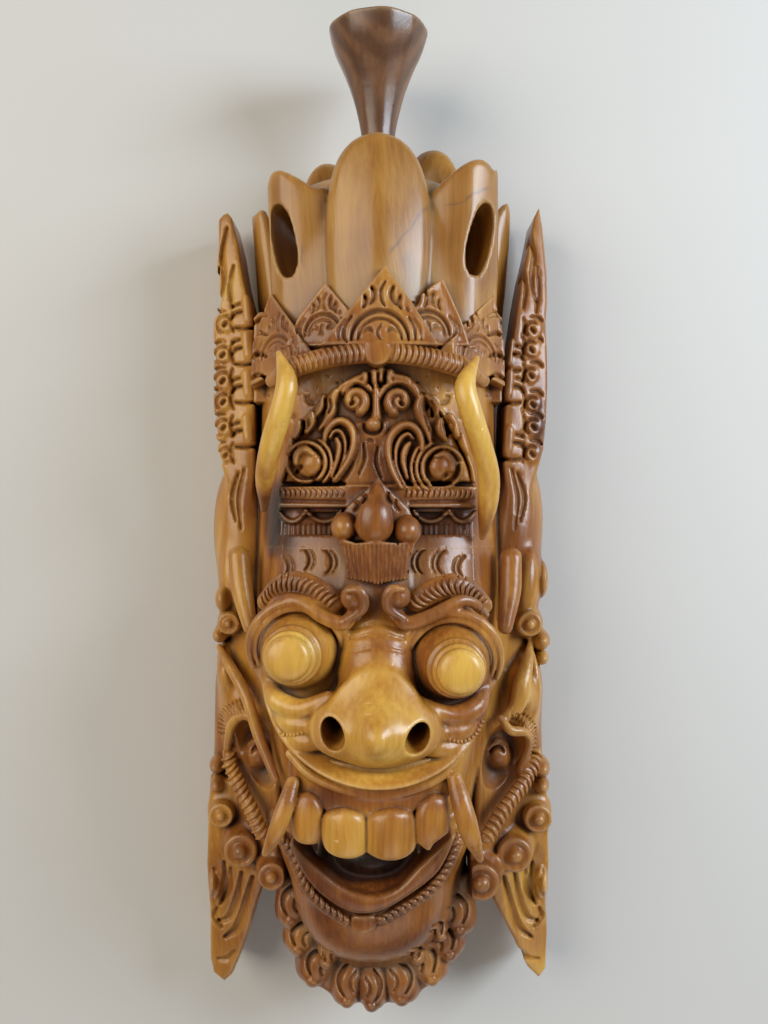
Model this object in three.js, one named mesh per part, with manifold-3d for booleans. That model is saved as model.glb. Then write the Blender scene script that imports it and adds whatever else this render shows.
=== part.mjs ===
// A barong mask with a tall crown, carved from one block of wood. It lies on its hollow back.
// Millimetres. X runs across the face, Y from the beard to the crown, Z out of the face.
// The origin is the middle of the rim that the mask lies on.
import * as THREE from "three";
import { mergeVertices } from "three/addons/utils/BufferGeometryUtils.js";
import Module from "manifold-3d";

// ---- driving dimensions ----
const HALF_LENGTH = 240; // from the middle to the finial's end, and to the beard's lowest leaf
const HALF_WIDTH = 85; // to the wings' outer edges
const HEAD_HALF = 62; // half the width of the head between its wings
const BLOCK_DEPTH = 134; // from the back to the tip of the snout
const HOLLOW = { half: [44, 118, 47], y: -38 }; // the hollow in the back, for the wearer's face
const CROWN = { base: 88, rim: 152, half: 58, deep: 39, axis: 42 }; // the cup of petals
const FINIAL = { end: 24, neck: 7.5 }; // radii of the flared finial
const EYE = { across: 34, ball: 16.5, pupil: 10 };
const EYE_HEIGHT = { left: -55, right: -60 }; // the carver set one eye a little lower

const wasm = await Module();
wasm.setup();

// ---- shaping helpers ----
// A closed three.js geometry as a solid that can be joined and cut.
function solid(geometry) {
  const bare = geometry.clone();
  bare.deleteAttribute("normal");
  bare.deleteAttribute("uv");
  const merged = mergeVertices(bare, 1e-4);
  return new wasm.Manifold(
    new wasm.Mesh({
      numProp: 3,
      vertProperties: merged.attributes.position.array,
      triVerts: new Uint32Array(merged.index.array),
    }),
  );
}

const degrees = THREE.MathUtils.degToRad;
const signedPower = (value, power) => Math.sign(value) * Math.abs(value) ** power;

// Moves each vertex of a geometry to where the rule puts it.
function shaped(geometry, rule) {
  const place = geometry.attributes.position;
  for (let i = 0; i < place.count; i++) {
    const to = rule(place.getX(i), place.getY(i), place.getZ(i));
    place.setXYZ(i, to.x, to.y, to.z);
  }
  return geometry;
}

// The value at t, from 0 to 1, of a smooth line through evenly spaced values.
function along(values, t) {
  const curve = new THREE.SplineCurve(values.map((v, i) => new THREE.Vector2(i, v)));
  return curve.getPoint(t).y;
}

// A rounded lump: an ellipsoid that grows boxier as square falls below 1.
function lump(radii, at, { turn = [0, 0, 0], square = 1, sides = 7 } = {}) {
  const ball = new THREE.SphereGeometry(1, sides, Math.round(sides * 0.7));
  const turned = new THREE.Euler(...turn.map(degrees));
  const centre = new THREE.Vector3(...at);
  return solid(
    shaped(ball, (x, y, z) =>
      new THREE.Vector3(
        radii[0] * signedPower(x, square),
        radii[1] * signedPower(y, square),
        radii[2] * signedPower(z, square),
      )
        .applyEuler(turned)
        .add(centre),
    ),
  );
}

// A tapering strand along a curve, such as a horn, a brow or a lip. flat squashes it towards up.
function strand(points, radii, { sides = 5, steps = 5, flat = 1, up = [0, 0, 1] } = {}) {
  const line = new THREE.CatmullRomCurve3(points.map((p) => new THREE.Vector3(...p)));
  const rod = new THREE.CylinderGeometry(1, 1, 1, sides, steps);
  const upwards = new THREE.Vector3(...up);
  return solid(
    shaped(rod, (x, y, z) => {
      const t = y + 0.5;
      const tangent = line.getTangent(t);
      const side = tangent.clone().cross(upwards).normalize();
      const out = side.clone().cross(tangent);
      const radius = along(radii, t);
      return line
        .getPoint(t)
        .addScaledVector(side, x * radius)
        .addScaledVector(out, z * radius * flat);
    }),
  );
}

// The value in a column of rows at a position: a smooth line through rows of [position, values].
function smooth(rows, column, position) {
  const next = Math.min(Math.max(rows.findIndex((row) => row[0] > position), 1), rows.length - 1);
  const slope = (i) => {
    const [before, after] = [rows[Math.max(i - 1, 0)], rows[Math.min(i + 1, rows.length - 1)]];
    return (after[column] - before[column]) / (after[0] - before[0]);
  };
  const [start, end] = [rows[next - 1], rows[next]];
  const span = end[0] - start[0];
  const t = Math.min(Math.max((position - start[0]) / span, 0), 1);
  const rise = end[column] - start[column];
  return (
    start[column] +
    rise * t * t * (3 - 2 * t) +
    span * t * (1 - t) * (slope(next - 1) * (1 - t) - slope(next) * t)
  );
}

// A long body seen down the Y axis, through rows of [y, half width, height].
function longBody(rows, { sides = 24, steps = 16, square = 0.85, lift = 0 } = {}) {
  const rod = new THREE.CylinderGeometry(1, 1, 1, sides, steps);
  const [low, high] = [rows[0][0], rows[rows.length - 1][0]];
  return solid(
    shaped(rod, (x, y, z) => {
      const station = low + (y + 0.5) * (high - low);
      return new THREE.Vector3(
        smooth(rows, 1, station) * signedPower(x, square),
        station,
        lift + smooth(rows, 2, station) * signedPower(z, square),
      );
    }),
  );
}

// A flat leaf or plate: an outline through points in X and Y, from z = low to z = high, with
// softened edges. With no divisions its sides are straight. turn swings it about the line along Y
// at x = pivot on its upper face.
function plate(points, low, high, { bevel = 3, divisions = 14, turn = 0, pivot = 0 } = {}) {
  const outline = new THREE.CatmullRomCurve3(
    points.map(([x, y]) => new THREE.Vector3(x, y, 0)),
    true,
    "centripetal",
  );
  const straight = points.map((p) => new THREE.Vector2(...p));
  const shape = new THREE.Shape(divisions ? outline.getPoints(divisions).slice(0, -1) : straight);
  const layers = [
    { height: low, inset: bevel },
    { height: low + bevel, inset: 0 },
    { height: high - bevel, inset: 0 },
    { height: high, inset: bevel },
  ];
  const steps = layers.length - 1;
  const body = new THREE.ExtrudeGeometry(shape, { depth: steps, steps, bevelEnabled: false });
  const box = new THREE.Box3().setFromPoints(shape.getPoints());
  const middle = box.getCenter(new THREE.Vector3());
  const half = box.getSize(new THREE.Vector3()).multiplyScalar(0.5);
  shaped(body, (x, y, z) => {
    const { height, inset } = layers[Math.round(z)];
    return new THREE.Vector3(
      middle.x + (x - middle.x) * (1 - inset / half.x) - pivot,
      middle.y + (y - middle.y) * (1 - inset / half.y),
      height - high,
    );
  });
  return solid(body.rotateY(degrees(turn)).translate(pivot, 0, high));
}

const joined = (solids) => wasm.Manifold.union(solids);
const mirrored = (solids) => solids.map((s) => s.mirror([1, 0, 0]));
const bothSides = (solids) => [...solids, ...mirrored(solids)];

// ---- the head, jaw and beard ----
const HEAD = [
  [-234, 10, 40],
  [-222, 27, 50],
  [-205, 38, 66],
  [-188, 43, 76],
  [-165, 46, 80],
  [-140, 50, 82],
  [-115, 55, 86],
  [-90, 59, 88],
  [-60, 62, 88],
  [-30, HEAD_HALF, 86],
  [0, HEAD_HALF, 78],
  [30, 61, 76],
  [60, 60, 80],
  [84, 57, 84],
  [102, 50, 80],
];
const HEAD_SQUARE = 0.62;

// The height of the bare head's surface over a point.
function skin(x, y) {
  const share = Math.abs(x) / smooth(HEAD, 1, y);
  return smooth(HEAD, 2, y) * Math.max(1 - share ** (2 / HEAD_SQUARE), 0) ** (HEAD_SQUARE / 2);
}

// Points given as [x, y, height over the head's surface], in the part's own frame.
const onSkin = (points) => points.map(([x, y, lift]) => [x, y, skin(x, y) + lift]);

function head() {
  return longBody(HEAD, { steps: 11, sides: 16, square: HEAD_SQUARE });
}

function jaw() {
  const lip = strand(
    onSkin([[-39, -140, 2], [-30, -158, 4], [0, -170, 6], [30, -158, 4], [39, -140, 2]]),
    [5, 7, 8, 7, 5],
  );
  const ropeBand = strand(
    onSkin([[-42, -150, 1], [-30, -172, 1], [0, -185, 2], [30, -172, 1], [42, -150, 1]]),
    [4, 4.5, 4.5, 4.5, 4],
  );
  return [lip, ropeBand, lump([6, 5, 5], onSkin([[0, -184, 2]])[0])];
}

// The ring of curled leaves round the chin.
function beard() {
  const LEAVES = 13;
  const rim = new THREE.CatmullRomCurve3(
    [[-44, -172, 38], [-41, -198, 38], [-26, -218, 36], [0, -226, 34]].map(
      (p) => new THREE.Vector3(...p),
    ),
  );
  const leaves = [];
  for (let i = 0; i < LEAVES; i++) {
    const share = (2 * i) / (LEAVES - 1) - 1; // -1 at the left, 1 at the right
    const at = rim.getPoint(1 - Math.abs(share));
    leaves.push(
      lump([8, 13, 20], [Math.sign(share) * Math.abs(at.x), at.y - 1, at.z], {
        turn: [-14, 0, share * 50],
        sides: 5,
      }),
    );
  }
  return leaves;
}

// ---- the face ----
function eye(side, height) {
  const x = side * EYE.across;
  const socket = lump([19, 19, 12], [x, height, 86], { sides: 8 });
  const ball = lump([EYE.ball, EYE.ball, 24], [x, height, 88], { sides: 8 });
  const pupil = solid(
    new THREE.CylinderGeometry(EYE.pupil * 0.85, EYE.pupil, 12, 10)
      .rotateX(Math.PI / 2)
      .translate(0, 0, 6),
  )
    .rotate([2, side * 3, 0])
    .translate([x + side, height + 1, 104]);
  return [socket, ball, pupil];
}

function snout() {
  const bridge = strand([[0, -28, 88], [0, -48, 94], [0, -72, 106]], [14, 14, 18], { flat: 0.7 });
  const dome = lump([22, 20, 34], [0, -82, BLOCK_DEPTH - 34], { square: 0.9, sides: 10 });
  const wings = bothSides([lump([14, 14, 22], [-17, -86, 104], { sides: 8 })]);
  return [bridge, dome, ...wings];
}

function nostrils() {
  return bothSides([lump([3.8, 5.4, 24], [-17, -86, 122])]);
}

// The flared upper lip, a thin curved plate under the snout, and the gum behind it.
function upperLip() {
  const plateLip = strand(
    [[-50, -68, 92], [-36, -95, 104], [0, -108, 108], [36, -95, 104], [50, -68, 92]],
    [5, 8, 9, 8, 5],
    { steps: 8, flat: 0.8 },
  );
  const gum = strand(
    [[-38, -104, 88], [-20, -114, 98], [0, -118, 100], [20, -114, 98], [38, -104, 88]],
    [9, 11, 12, 11, 9],
    { steps: 6 },
  );
  const cheeks = bothSides([lump([17, 15, 24], [-42, -84, 78])]);
  return [plateLip, gum, ...cheeks];
}

// Four broad upper teeth and a slanting tusk at each corner of the mouth.
function teeth() {
  const WIDTHS = [14, 18, 20.5, 14.5];
  const LOW = [-136, -141, -142, -138];
  const HEIGHT = 29;
  const solids = [];
  let left = -37.5;
  WIDTHS.forEach((width, i) => {
    const middle = left + width / 2;
    const depth = 99 - 0.008 * middle * middle;
    solids.push(
      lump([width / 2 + 0.3, HEIGHT / 2, 14], [middle, LOW[i] + HEIGHT / 2, depth], {
        square: 0.5,
      }),
    );
    left += width;
  });
  const tusk = strand(onSkin([[-34, -110, 4], [-41, -128, 10], [-48, -146, 10]]), [7, 6.5, 2]);
  return [...solids, ...bothSides([tusk])];
}

function mouth() {
  return lump([30, 15, 26], [0, -149, 84], { square: 0.8, sides: 10 });
}

function tongue() {
  return lump([21, 15, 16], [0, -153, 62]);
}

function brows() {
  const ridge = strand(
    [[-9, -42, 98], [-24, -36, 98], [-40, -30, 94], [-56, -42, 80]],
    [3.5, 4, 4, 3],
  );
  const hair = strand(
    [[-14, -34, 96], [-28, -24, 94], [-44, -22, 88], [-58, -34, 74]],
    [5, 6, 6, 4],
  );
  const scroll = lump([6, 6, 8], [-7.5, -31, 102], { sides: 6 });
  const prong = strand([[-58, -52, 52], [-62, -36, 60], [-65, -14, 58]], [8, 7, 5.5]);
  return bothSides([ridge, hair, scroll, prong]);
}

// ---- the ears, with the leafy wings above and the lappets below ----
function ear() {
  const shell = lump([19, 42, 26], [-66, -98, 34], { turn: [0, -18, 8], sides: 9 });
  const tip = strand([[-58, -92, 62], [-66, -74, 62], [-77, -62, 50]], [5, 5, 1.5], { steps: 4 });
  const rim = strand(
    [[-76, -98, 46], [-77, -116, 46], [-66, -136, 54], [-52, -150, 62]],
    [4.5, 5, 5, 4],
  );
  const fringe = strand([[-60, -90, 62], [-70, -86, 56], [-78, -94, 46]], [4, 4.5, 4], { steps: 3 });
  return [shell, tip, rim, fringe];
}

function earHollow() {
  return lump([9, 19, 16], [-61, -112, 62], { turn: [0, -18, 14] });
}

function rosettes() {
  const PLACES = [[-78, -145, 30, 7], [-66, -161, 36, 8.5], [-50, -171, 40, 7.5], [-77, -48, 34, 7]];
  return PLACES.map(([x, y, z, radius]) =>
    lump([radius, radius, 11], [x, y, z], { sides: 6 }),
  );
}

function wing() {
  const blade = plate(
    [
      [-77, 158], [-81, 135], [-83, 100], [-HALF_WIDTH, 60], [-84, 30], [-76, 0], [-64, -14],
      [-56, 10], [-56, 60], [-58, 100], [-67, 130],
    ],
    8,
    40,
    { bevel: 5, divisions: 13 },
  );
  const sideShell = lump([19, 50, 30], [-HALF_WIDTH + 19, -16, 18], { sides: 8 });
  const knobs = [108, 72, 36].map((y) => lump([7, 13, 9], [-75, y, 36], { sides: 6 }));
  return [blade, sideShell, ...knobs];
}

function lappet() {
  const blade = plate(
    [
      [-84, -120], [-HALF_WIDTH, -170], [-HALF_WIDTH, -222], [-79, -233], [-73, -224],
      [-64, -198], [-48, -160], [-54, -130],
    ],
    6,
    34,
    { bevel: 5, divisions: 10 },
  );
  const curls = [-182, -200, -217].map((y, i) => lump([6.5, 9, 8], [-76, y, 30], { sides: 6 }));
  return [blade, ...curls];
}

// ---- the forehead, between its two horns ----
function forehead() {
  const horn = strand(
    onSkin([[-50, -10, 2], [-48, 20, 9], [-45, 45, 16], [-39, 60, 18], [-43, 74, 14]]),
    [3, 6.5, 6.5, 5.5, 1.6],
    { steps: 6 },
  );
  const archPanel = plate(
    [[-46, 18], [-40, 40], [-22, 58], [0, 66], [22, 58], [40, 40], [46, 18], [0, 16]],
    50,
    82,
    { bevel: 4, divisions: 10 },
  );
  const spiral = lump([10, 10, 7], onSkin([[-34, 28, 1]])[0]);
  const curl = lump([6, 6, 8], [-10, 54, 83], { sides: 6 });
  const sill = strand(onSkin([[-52, 14, 0], [-26, 13, 1], [0, 12, 2]]), [4, 4, 4], { steps: 4 });
  const drop = strand([[0, 19, 86], [0, 6, 96], [0, -8, 96]], [1.5, 9, 8], { sides: 7, steps: 3 });
  const petals = bothSides([lump([6.5, 8, 10], [-14, -1, 88], { sides: 6 })]);
  const tassel = strand([[0, -4, 88], [0, -16, 92], [0, -26, 92]], [16, 15, 13], {
    steps: 2,
    sides: 7,
    flat: 0.55,
  });
  return [archPanel, ...bothSides([horn, spiral, curl, sill]), drop, ...petals, tassel];
}

// ---- the tiara and the crown ----
function tiara() {
  const band = strand(
    onSkin([[-57, 70, 0], [-48, 71, 1], [-24, 72, 3], [0, 73, 4], [24, 72, 3], [48, 71, 1], [57, 70, 0]]),
    [5.5, 5.5],
    { steps: 8 },
  );
  const boss = lump([6, 6, 6], [0, 73, 93], { sides: 6 });
  // A pointed leaf with gently bowed sides.
  const leaf = ({ x, half, low, top, high, deep = 14, turn = 0 }) => {
    const bow = (share) => [half * (1 - share) + 3 * Math.sin(Math.PI * share), low + (top - low) * share];
    const right = [0, 0.35, 0.7].map(bow);
    const points = [
      ...right.map(([across, y]) => [x + across, y]),
      [x, top],
      ...right.reverse().map(([across, y]) => [x - across, y]),
    ];
    return plate(points, high - deep, high, { bevel: 2, divisions: 0, turn, pivot: x });
  };
  const front = leaf({ x: 0, half: 27, low: 74, top: 112, high: 94, deep: 24 });
  const second = leaf({ x: -25, half: 19, low: 74, top: 109, high: 86, turn: -16 });
  const outer = leaf({ x: -47, half: 19, low: 66, top: 109, high: 70, turn: -42 });
  const block = plate([[-63, 101], [-63, 60], [-46, 60], [-46, 101]], 10, 52, {
    bevel: 2,
    divisions: 0,
  });
  return [band, boss, front, ...bothSides([second, outer, block])];
}

// A petal of the crown: a tall rounded lump that leans out from the crown's axis.
function petal(angle, half, top, thick) {
  const turned = degrees(angle);
  const low = CROWN.base - 6;
  const at = [
    Math.sin(turned) * (CROWN.half - thick * 0.6),
    (top + low) / 2,
    CROWN.axis + Math.cos(turned) * (CROWN.deep - thick * 0.3),
  ];
  return lump([half, (top - low) / 2, thick], at, {
    turn: [0, angle, 0],
    square: 0.72,
  });
}

function crown() {
  const cup = longBody(
    [[CROWN.base - 20, 52, 36], [CROWN.base + 20, 53, 37], [CROWN.rim, CROWN.half - 3, CROWN.deep]],
    { sides: 14, steps: 3, lift: CROWN.axis, square: 0.95 },
  );
  return [
    cup,
    petal(0, 25, 177, 13),
    ...bothSides([petal(-48, 21, 172, 12), petal(-86, 15, 157, 7), petal(-152, 22, 188, 9)]),
  ];
}

function crownHollow() {
  return longBody([[126, 30, 18], [150, 40, 25], [200, 46, 30]], {
    sides: 14,
    steps: 3,
    lift: CROWN.axis,
    square: 0.95,
  });
}

function slots() {
  return bothSides([lump([6.3, 19, 24], [-47, 134, 66], { turn: [0, -38, 4], square: 0.9 })]);
}

// The flared finial stands in the middle of the crown.
function finial() {
  const profile = [
    [0, 112],
    [FINIAL.neck, 112],
    [FINIAL.neck, 176],
    [8.6, 194],
    [12.6, 209],
    [22.3, 231],
    [FINIAL.end, 238],
    [FINIAL.end - 2, HALF_LENGTH],
    [0, HALF_LENGTH],
  ].map(([radius, y]) => new THREE.Vector2(radius, y));
  return solid(new THREE.LatheGeometry(profile, 16).translate(0, 0, CROWN.axis));
}

// ---- the whole mask ----
function carving() {
  const outside = joined([
    head(),
    ...jaw(),
    ...beard(),
    ...upperLip(),
    ...brows(),
    ...forehead(),
    ...tiara(),
    ...crown(),
    ...bothSides([...ear(), ...rosettes(), ...wing(), ...lappet()]),
  ]);
  const under = solid(new THREE.BoxGeometry(400, 600, 200).translate(0, 0, -100));
  const back = lump(HOLLOW.half, [0, HOLLOW.y, 0], { square: 0.62, sides: 16 });
  const cuts = joined([
    mouth(),
    ...bothSides([earHollow()]),
    crownHollow(),
    ...slots(),
  ]);
  const opened = joined([
    outside.subtract(cuts),
    ...snout(),
    ...eye(-1, EYE_HEIGHT.left),
    ...eye(1, EYE_HEIGHT.right),
    ...teeth(),
    tongue(),
    finial(),
  ]);
  return opened.subtract(joined([under, back, ...nostrils()]));
}

function geometryOf(made) {
  const mesh = made.getMesh();
  const geometry = new THREE.BufferGeometry();
  geometry.setAttribute("position", new THREE.BufferAttribute(mesh.vertProperties, mesh.numProp));
  geometry.setIndex(new THREE.BufferAttribute(mesh.triVerts, 1));
  return geometry;
}

const wood = new THREE.MeshStandardMaterial({ color: 0xa8662e, roughness: 0.38, metalness: 0 });
const mask = new THREE.Mesh(geometryOf(carving()), wood);
mask.name = "carved_mask";

const part = new THREE.Group();
part.add(mask);
export default part;
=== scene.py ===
# %% [markdown]
# # A carved wooden mask, from a solid block to a waxed finish
# This lesson carves the mask the way its maker did: it starts from solid wood, adds and takes away
# rounded shapes, cuts the fine relief with gouges, and waxes the result. The block of wood is a
# grid of distances to the surface, which joins shapes softly and never leaves a hole or a seam.
# The first cell loads the measured frame that the carving has to fit.

# %% Load the frame
import math

import bmesh
import bpy
import numpy as np
import openvdb
from mathutils import Euler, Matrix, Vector


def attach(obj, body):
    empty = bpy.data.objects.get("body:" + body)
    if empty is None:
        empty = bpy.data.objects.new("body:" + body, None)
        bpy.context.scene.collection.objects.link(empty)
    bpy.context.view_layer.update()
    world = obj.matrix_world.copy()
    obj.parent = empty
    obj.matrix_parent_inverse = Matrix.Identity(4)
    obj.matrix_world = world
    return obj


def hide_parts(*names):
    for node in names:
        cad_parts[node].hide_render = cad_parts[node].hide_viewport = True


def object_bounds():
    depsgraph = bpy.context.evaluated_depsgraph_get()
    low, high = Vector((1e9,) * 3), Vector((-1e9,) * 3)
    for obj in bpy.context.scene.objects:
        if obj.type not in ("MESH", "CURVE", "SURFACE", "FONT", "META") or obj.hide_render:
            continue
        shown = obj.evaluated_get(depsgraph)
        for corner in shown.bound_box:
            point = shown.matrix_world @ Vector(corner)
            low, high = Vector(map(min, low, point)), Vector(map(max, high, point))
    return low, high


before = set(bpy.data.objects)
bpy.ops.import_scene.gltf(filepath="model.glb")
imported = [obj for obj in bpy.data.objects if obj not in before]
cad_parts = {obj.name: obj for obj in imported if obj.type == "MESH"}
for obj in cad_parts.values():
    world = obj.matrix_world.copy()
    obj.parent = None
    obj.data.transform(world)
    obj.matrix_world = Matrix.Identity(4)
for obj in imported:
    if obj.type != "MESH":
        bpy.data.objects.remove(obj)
CAD_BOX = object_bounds()
MM = 0.001  # the carving is worked out in millimetres, and Blender's unit is the metre
LOW, HIGH = (np.array(corner) / MM for corner in CAD_BOX)
print("the frame's box in mm, low and high:", LOW.round(1), HIGH.round(1))

# %% [markdown]
# ## The block of wood
# Each part of the mask is carved in a Block: a grid whose every point holds the distance to the
# surface, less than 0 inside the wood. To add a shape, the smaller of two distances is kept. A
# blend in millimetres rounds the crease where they meet, as a gouge and sandpaper would.

# %% Soft joins
FAR = 40.0  # the distance a grid starts with, in millimetres


def soft_min(a, b, blend):
    """The smaller of two distances, with the crease between them rounded."""
    if blend <= 0:
        return np.minimum(a, b)
    share = np.clip(0.5 + 0.5 * (b - a) / blend, 0, 1)
    return b + (a - b) * share - blend * share * (1 - share)


def soft_max(a, b, blend):
    return -soft_min(-a, -b, blend)


class Block:
    """A block of wood between two corners, as a grid of distances in millimetres."""

    def __init__(self, low, high, grain):
        self.low, self.grain = np.array(low, float), grain
        counts = np.ceil((np.array(high, float) - self.low) / grain).astype(int) + 1
        self.axes = [self.low[i] + grain * np.arange(counts[i]) for i in range(3)]
        self.field = np.full(counts, FAR, np.float32)

    def window(self, low, high):
        """The part of the grid between two corners, and its X, Y and Z as arrays that broadcast."""
        first = np.floor((np.array(low) - self.low) / self.grain).astype(int)
        last = np.ceil((np.array(high) - self.low) / self.grain).astype(int) + 1
        cuts = [slice(max(a, 0), max(min(b, n), 0)) for a, b, n in zip(first, last, self.field.shape)]
        x, y, z = (axis[cut].astype(np.float32) for axis, cut in zip(self.axes, cuts))
        return tuple(cuts), x[:, None, None], y[None, :, None], z[None, None, :]

    def distances(self, shape, margin):
        """A shape's own distances, on the window of the grid that holds it."""
        low = np.min([part[0] for part in shape], axis=0) - margin
        high = np.max([part[1] for part in shape], axis=0) + margin
        cuts, x, y, z = self.window(low, high)
        result = np.full(self.field[cuts].shape, FAR, np.float32)
        start = [cut.start for cut in cuts]
        for low, high, rule in shape:
            inner, x, y, z = self.window(np.array(low) - margin, np.array(high) + margin)
            if any(cut.stop <= cut.start for cut in inner):
                continue
            spot = tuple(slice(c.start - s, c.stop - s) for c, s in zip(inner, start))
            result[spot] = np.minimum(result[spot], rule(x, y, z))
        return cuts, result

    def add(self, shape, blend=1.5):
        cuts, distance = self.distances(shape, blend + 3 * self.grain)
        self.field[cuts] = soft_min(self.field[cuts], distance, blend)

    def cut(self, shape, blend=1.0):
        cuts, distance = self.distances(shape, blend + 3 * self.grain)
        self.field[cuts] = soft_max(self.field[cuts], -distance, blend)


# %% [markdown]
# ## The carver's shapes
# Four shapes do the work. A lump is an ellipsoid, for a cheek or a shell. A strand is a cord along
# a curve with its own thickness at each point, for a horn, a brow or a lid. A slab is a flat outline
# with a top that may be domed, for leaves, petals and teeth, and a drum is a round slab. Each gives
# the corners of its box and a rule for the distance, so only that part of the grid is worked on.

# %% Lumps, strands and slabs
def smooth_path(points, steps):
    """A smooth line through points: Catmull-Rom, with steps stretches between two points."""
    points = np.array(points, float)
    padded = np.vstack([2 * points[0] - points[1], points, 2 * points[-1] - points[-2]])
    t = np.linspace(0, 1, steps, endpoint=False)[:, None]
    rows = []
    for a, b, c, d in zip(padded, padded[1:], padded[2:], padded[3:]):
        rows.append(0.5 * (2 * b + (c - a) * t + (2 * a - 5 * b + 4 * c - d) * t**2
                           + (3 * b - a - 3 * c + d) * t**3))
    return np.vstack([*rows, points[-1:]])


def lump(centre, radii, turn=(0, 0, 0), power=2.0):
    """A rounded lump, boxier as power grows. turn is in degrees about X, Y and Z."""
    matrix = np.array(Euler([math.radians(a) for a in turn]).to_matrix())
    centre, radii = np.array(centre, float), np.array(radii, float)
    half = np.abs(matrix) @ radii

    def rule(x, y, z):
        offset = (x - centre[0], y - centre[1], z - centre[2])
        local = [sum(matrix[j, i] * offset[j] for j in range(3)) for i in range(3)]
        size = sum(np.abs(local[i] / radii[i]) ** power for i in range(3)) ** (1 / power)
        size = np.maximum(size, 1e-3)
        if power == 2.0:
            slope = np.sqrt(sum((local[i] / radii[i] ** 2) ** 2 for i in range(3)))
            return size * (size - 1) / np.maximum(slope, 1e-4)
        return np.sqrt(sum(part**2 for part in local)) * (1 - 1 / size)

    return [(centre - half, centre + half, rule)]


def rod(a, b, radius_a, radius_b, flat):
    """The distance rule of one straight stretch of a strand."""
    along = b - a
    length = max(float(along @ along), 1e-6)

    def rule(x, y, z):
        t = ((x - a[0]) * along[0] + (y - a[1]) * along[1] + (z - a[2]) * along[2]) / length
        t = np.clip(t, 0, 1)
        across = (x - a[0] - t * along[0]) ** 2 + (y - a[1] - t * along[1]) ** 2
        deep = ((z - a[2] - t * along[2]) / flat) ** 2
        return (np.sqrt(across + deep) - radius_a - t * (radius_b - radius_a)) * min(flat, 1)

    return rule


def strand(points, radii, flat=1.0, steps=5):
    """A cord along a smooth line, with a radius at each point. flat squashes it in height."""
    rows = smooth_path([(*p, r) for p, r in zip(points, radii)], steps)
    parts = []
    for a, b in zip(rows, rows[1:]):
        reach = max(a[3], b[3]) * np.array([1, 1, max(flat, 0.1)])
        low, high = np.minimum(a[:3], b[:3]) - reach, np.maximum(a[:3], b[:3]) + reach
        parts.append((low, high, rod(a[:3], b[:3], a[3], b[3], flat)))
    return parts


def outline_distance(x, y, outline):
    """The distance to a closed outline in X and Y, less than 0 inside it."""
    outline = np.array(outline, float)
    nearest = np.full(np.broadcast(x, y).shape, 1e6, np.float32)
    inside = np.zeros(nearest.shape, bool)
    for (ax, ay), (bx, by) in zip(outline, np.roll(outline, -1, axis=0)):
        dx, dy = bx - ax, by - ay
        t = np.clip(((x - ax) * dx + (y - ay) * dy) / max(dx * dx + dy * dy, 1e-9), 0, 1)
        nearest = np.minimum(nearest, (x - ax - t * dx) ** 2 + (y - ay - t * dy) ** 2)
        crosses = ((ay > y) != (by > y)) & (x < dx * (y - ay) / (dy if dy else 1e-9) + ax)
        inside ^= crosses
    return np.where(inside, -1, 1) * np.sqrt(nearest)


def slab(outline, bottom, top, edge=1.5):
    """A plate with an outline, between a bottom and a top height. top may be a rule of x and y."""
    outline = np.array(outline, float)
    rule_top = top if callable(top) else (lambda x, y: np.full(np.broadcast(x, y).shape, float(top)))
    across, up = (np.linspace(outline[:, i].min(), outline[:, i].max(), 40) for i in (0, 1))
    highest = float(np.max(rule_top(across[:, None], up[None, :])))

    def rule(x, y, z):
        sides = outline_distance(x, y, outline)
        return soft_max(soft_max(sides, z - rule_top(x, y), edge), bottom - z, edge)

    return [((*outline.min(0), bottom), (*outline.max(0), highest), rule)]


def drum(centre, radius, bottom, top, dome=2.0, edge=1.0):
    """A round disc that stands up to a top height, with a domed face."""
    cx, cy = centre

    def rule(x, y, z):
        far = np.hypot(x - cx, y - cy)
        face_z = top - dome * (far / radius) ** 2
        return soft_max(soft_max(far - radius, z - face_z, edge), bottom - z, edge)

    return [((cx - radius, cy - radius, bottom), (cx + radius, cy + radius, top), rule)]


print("shapes ready: lump, strand, slab, drum")

# %% [markdown]
# ## Gouge work
# The fine relief is cut straight down into the front, as a carver does with the mask on a bench.
# A Relief holds a height over X and Y. A ridge stands proud along a line, and a groove sinks. The
# whole relief is then taken off the block's distances, so the surface rises by that height.

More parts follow.
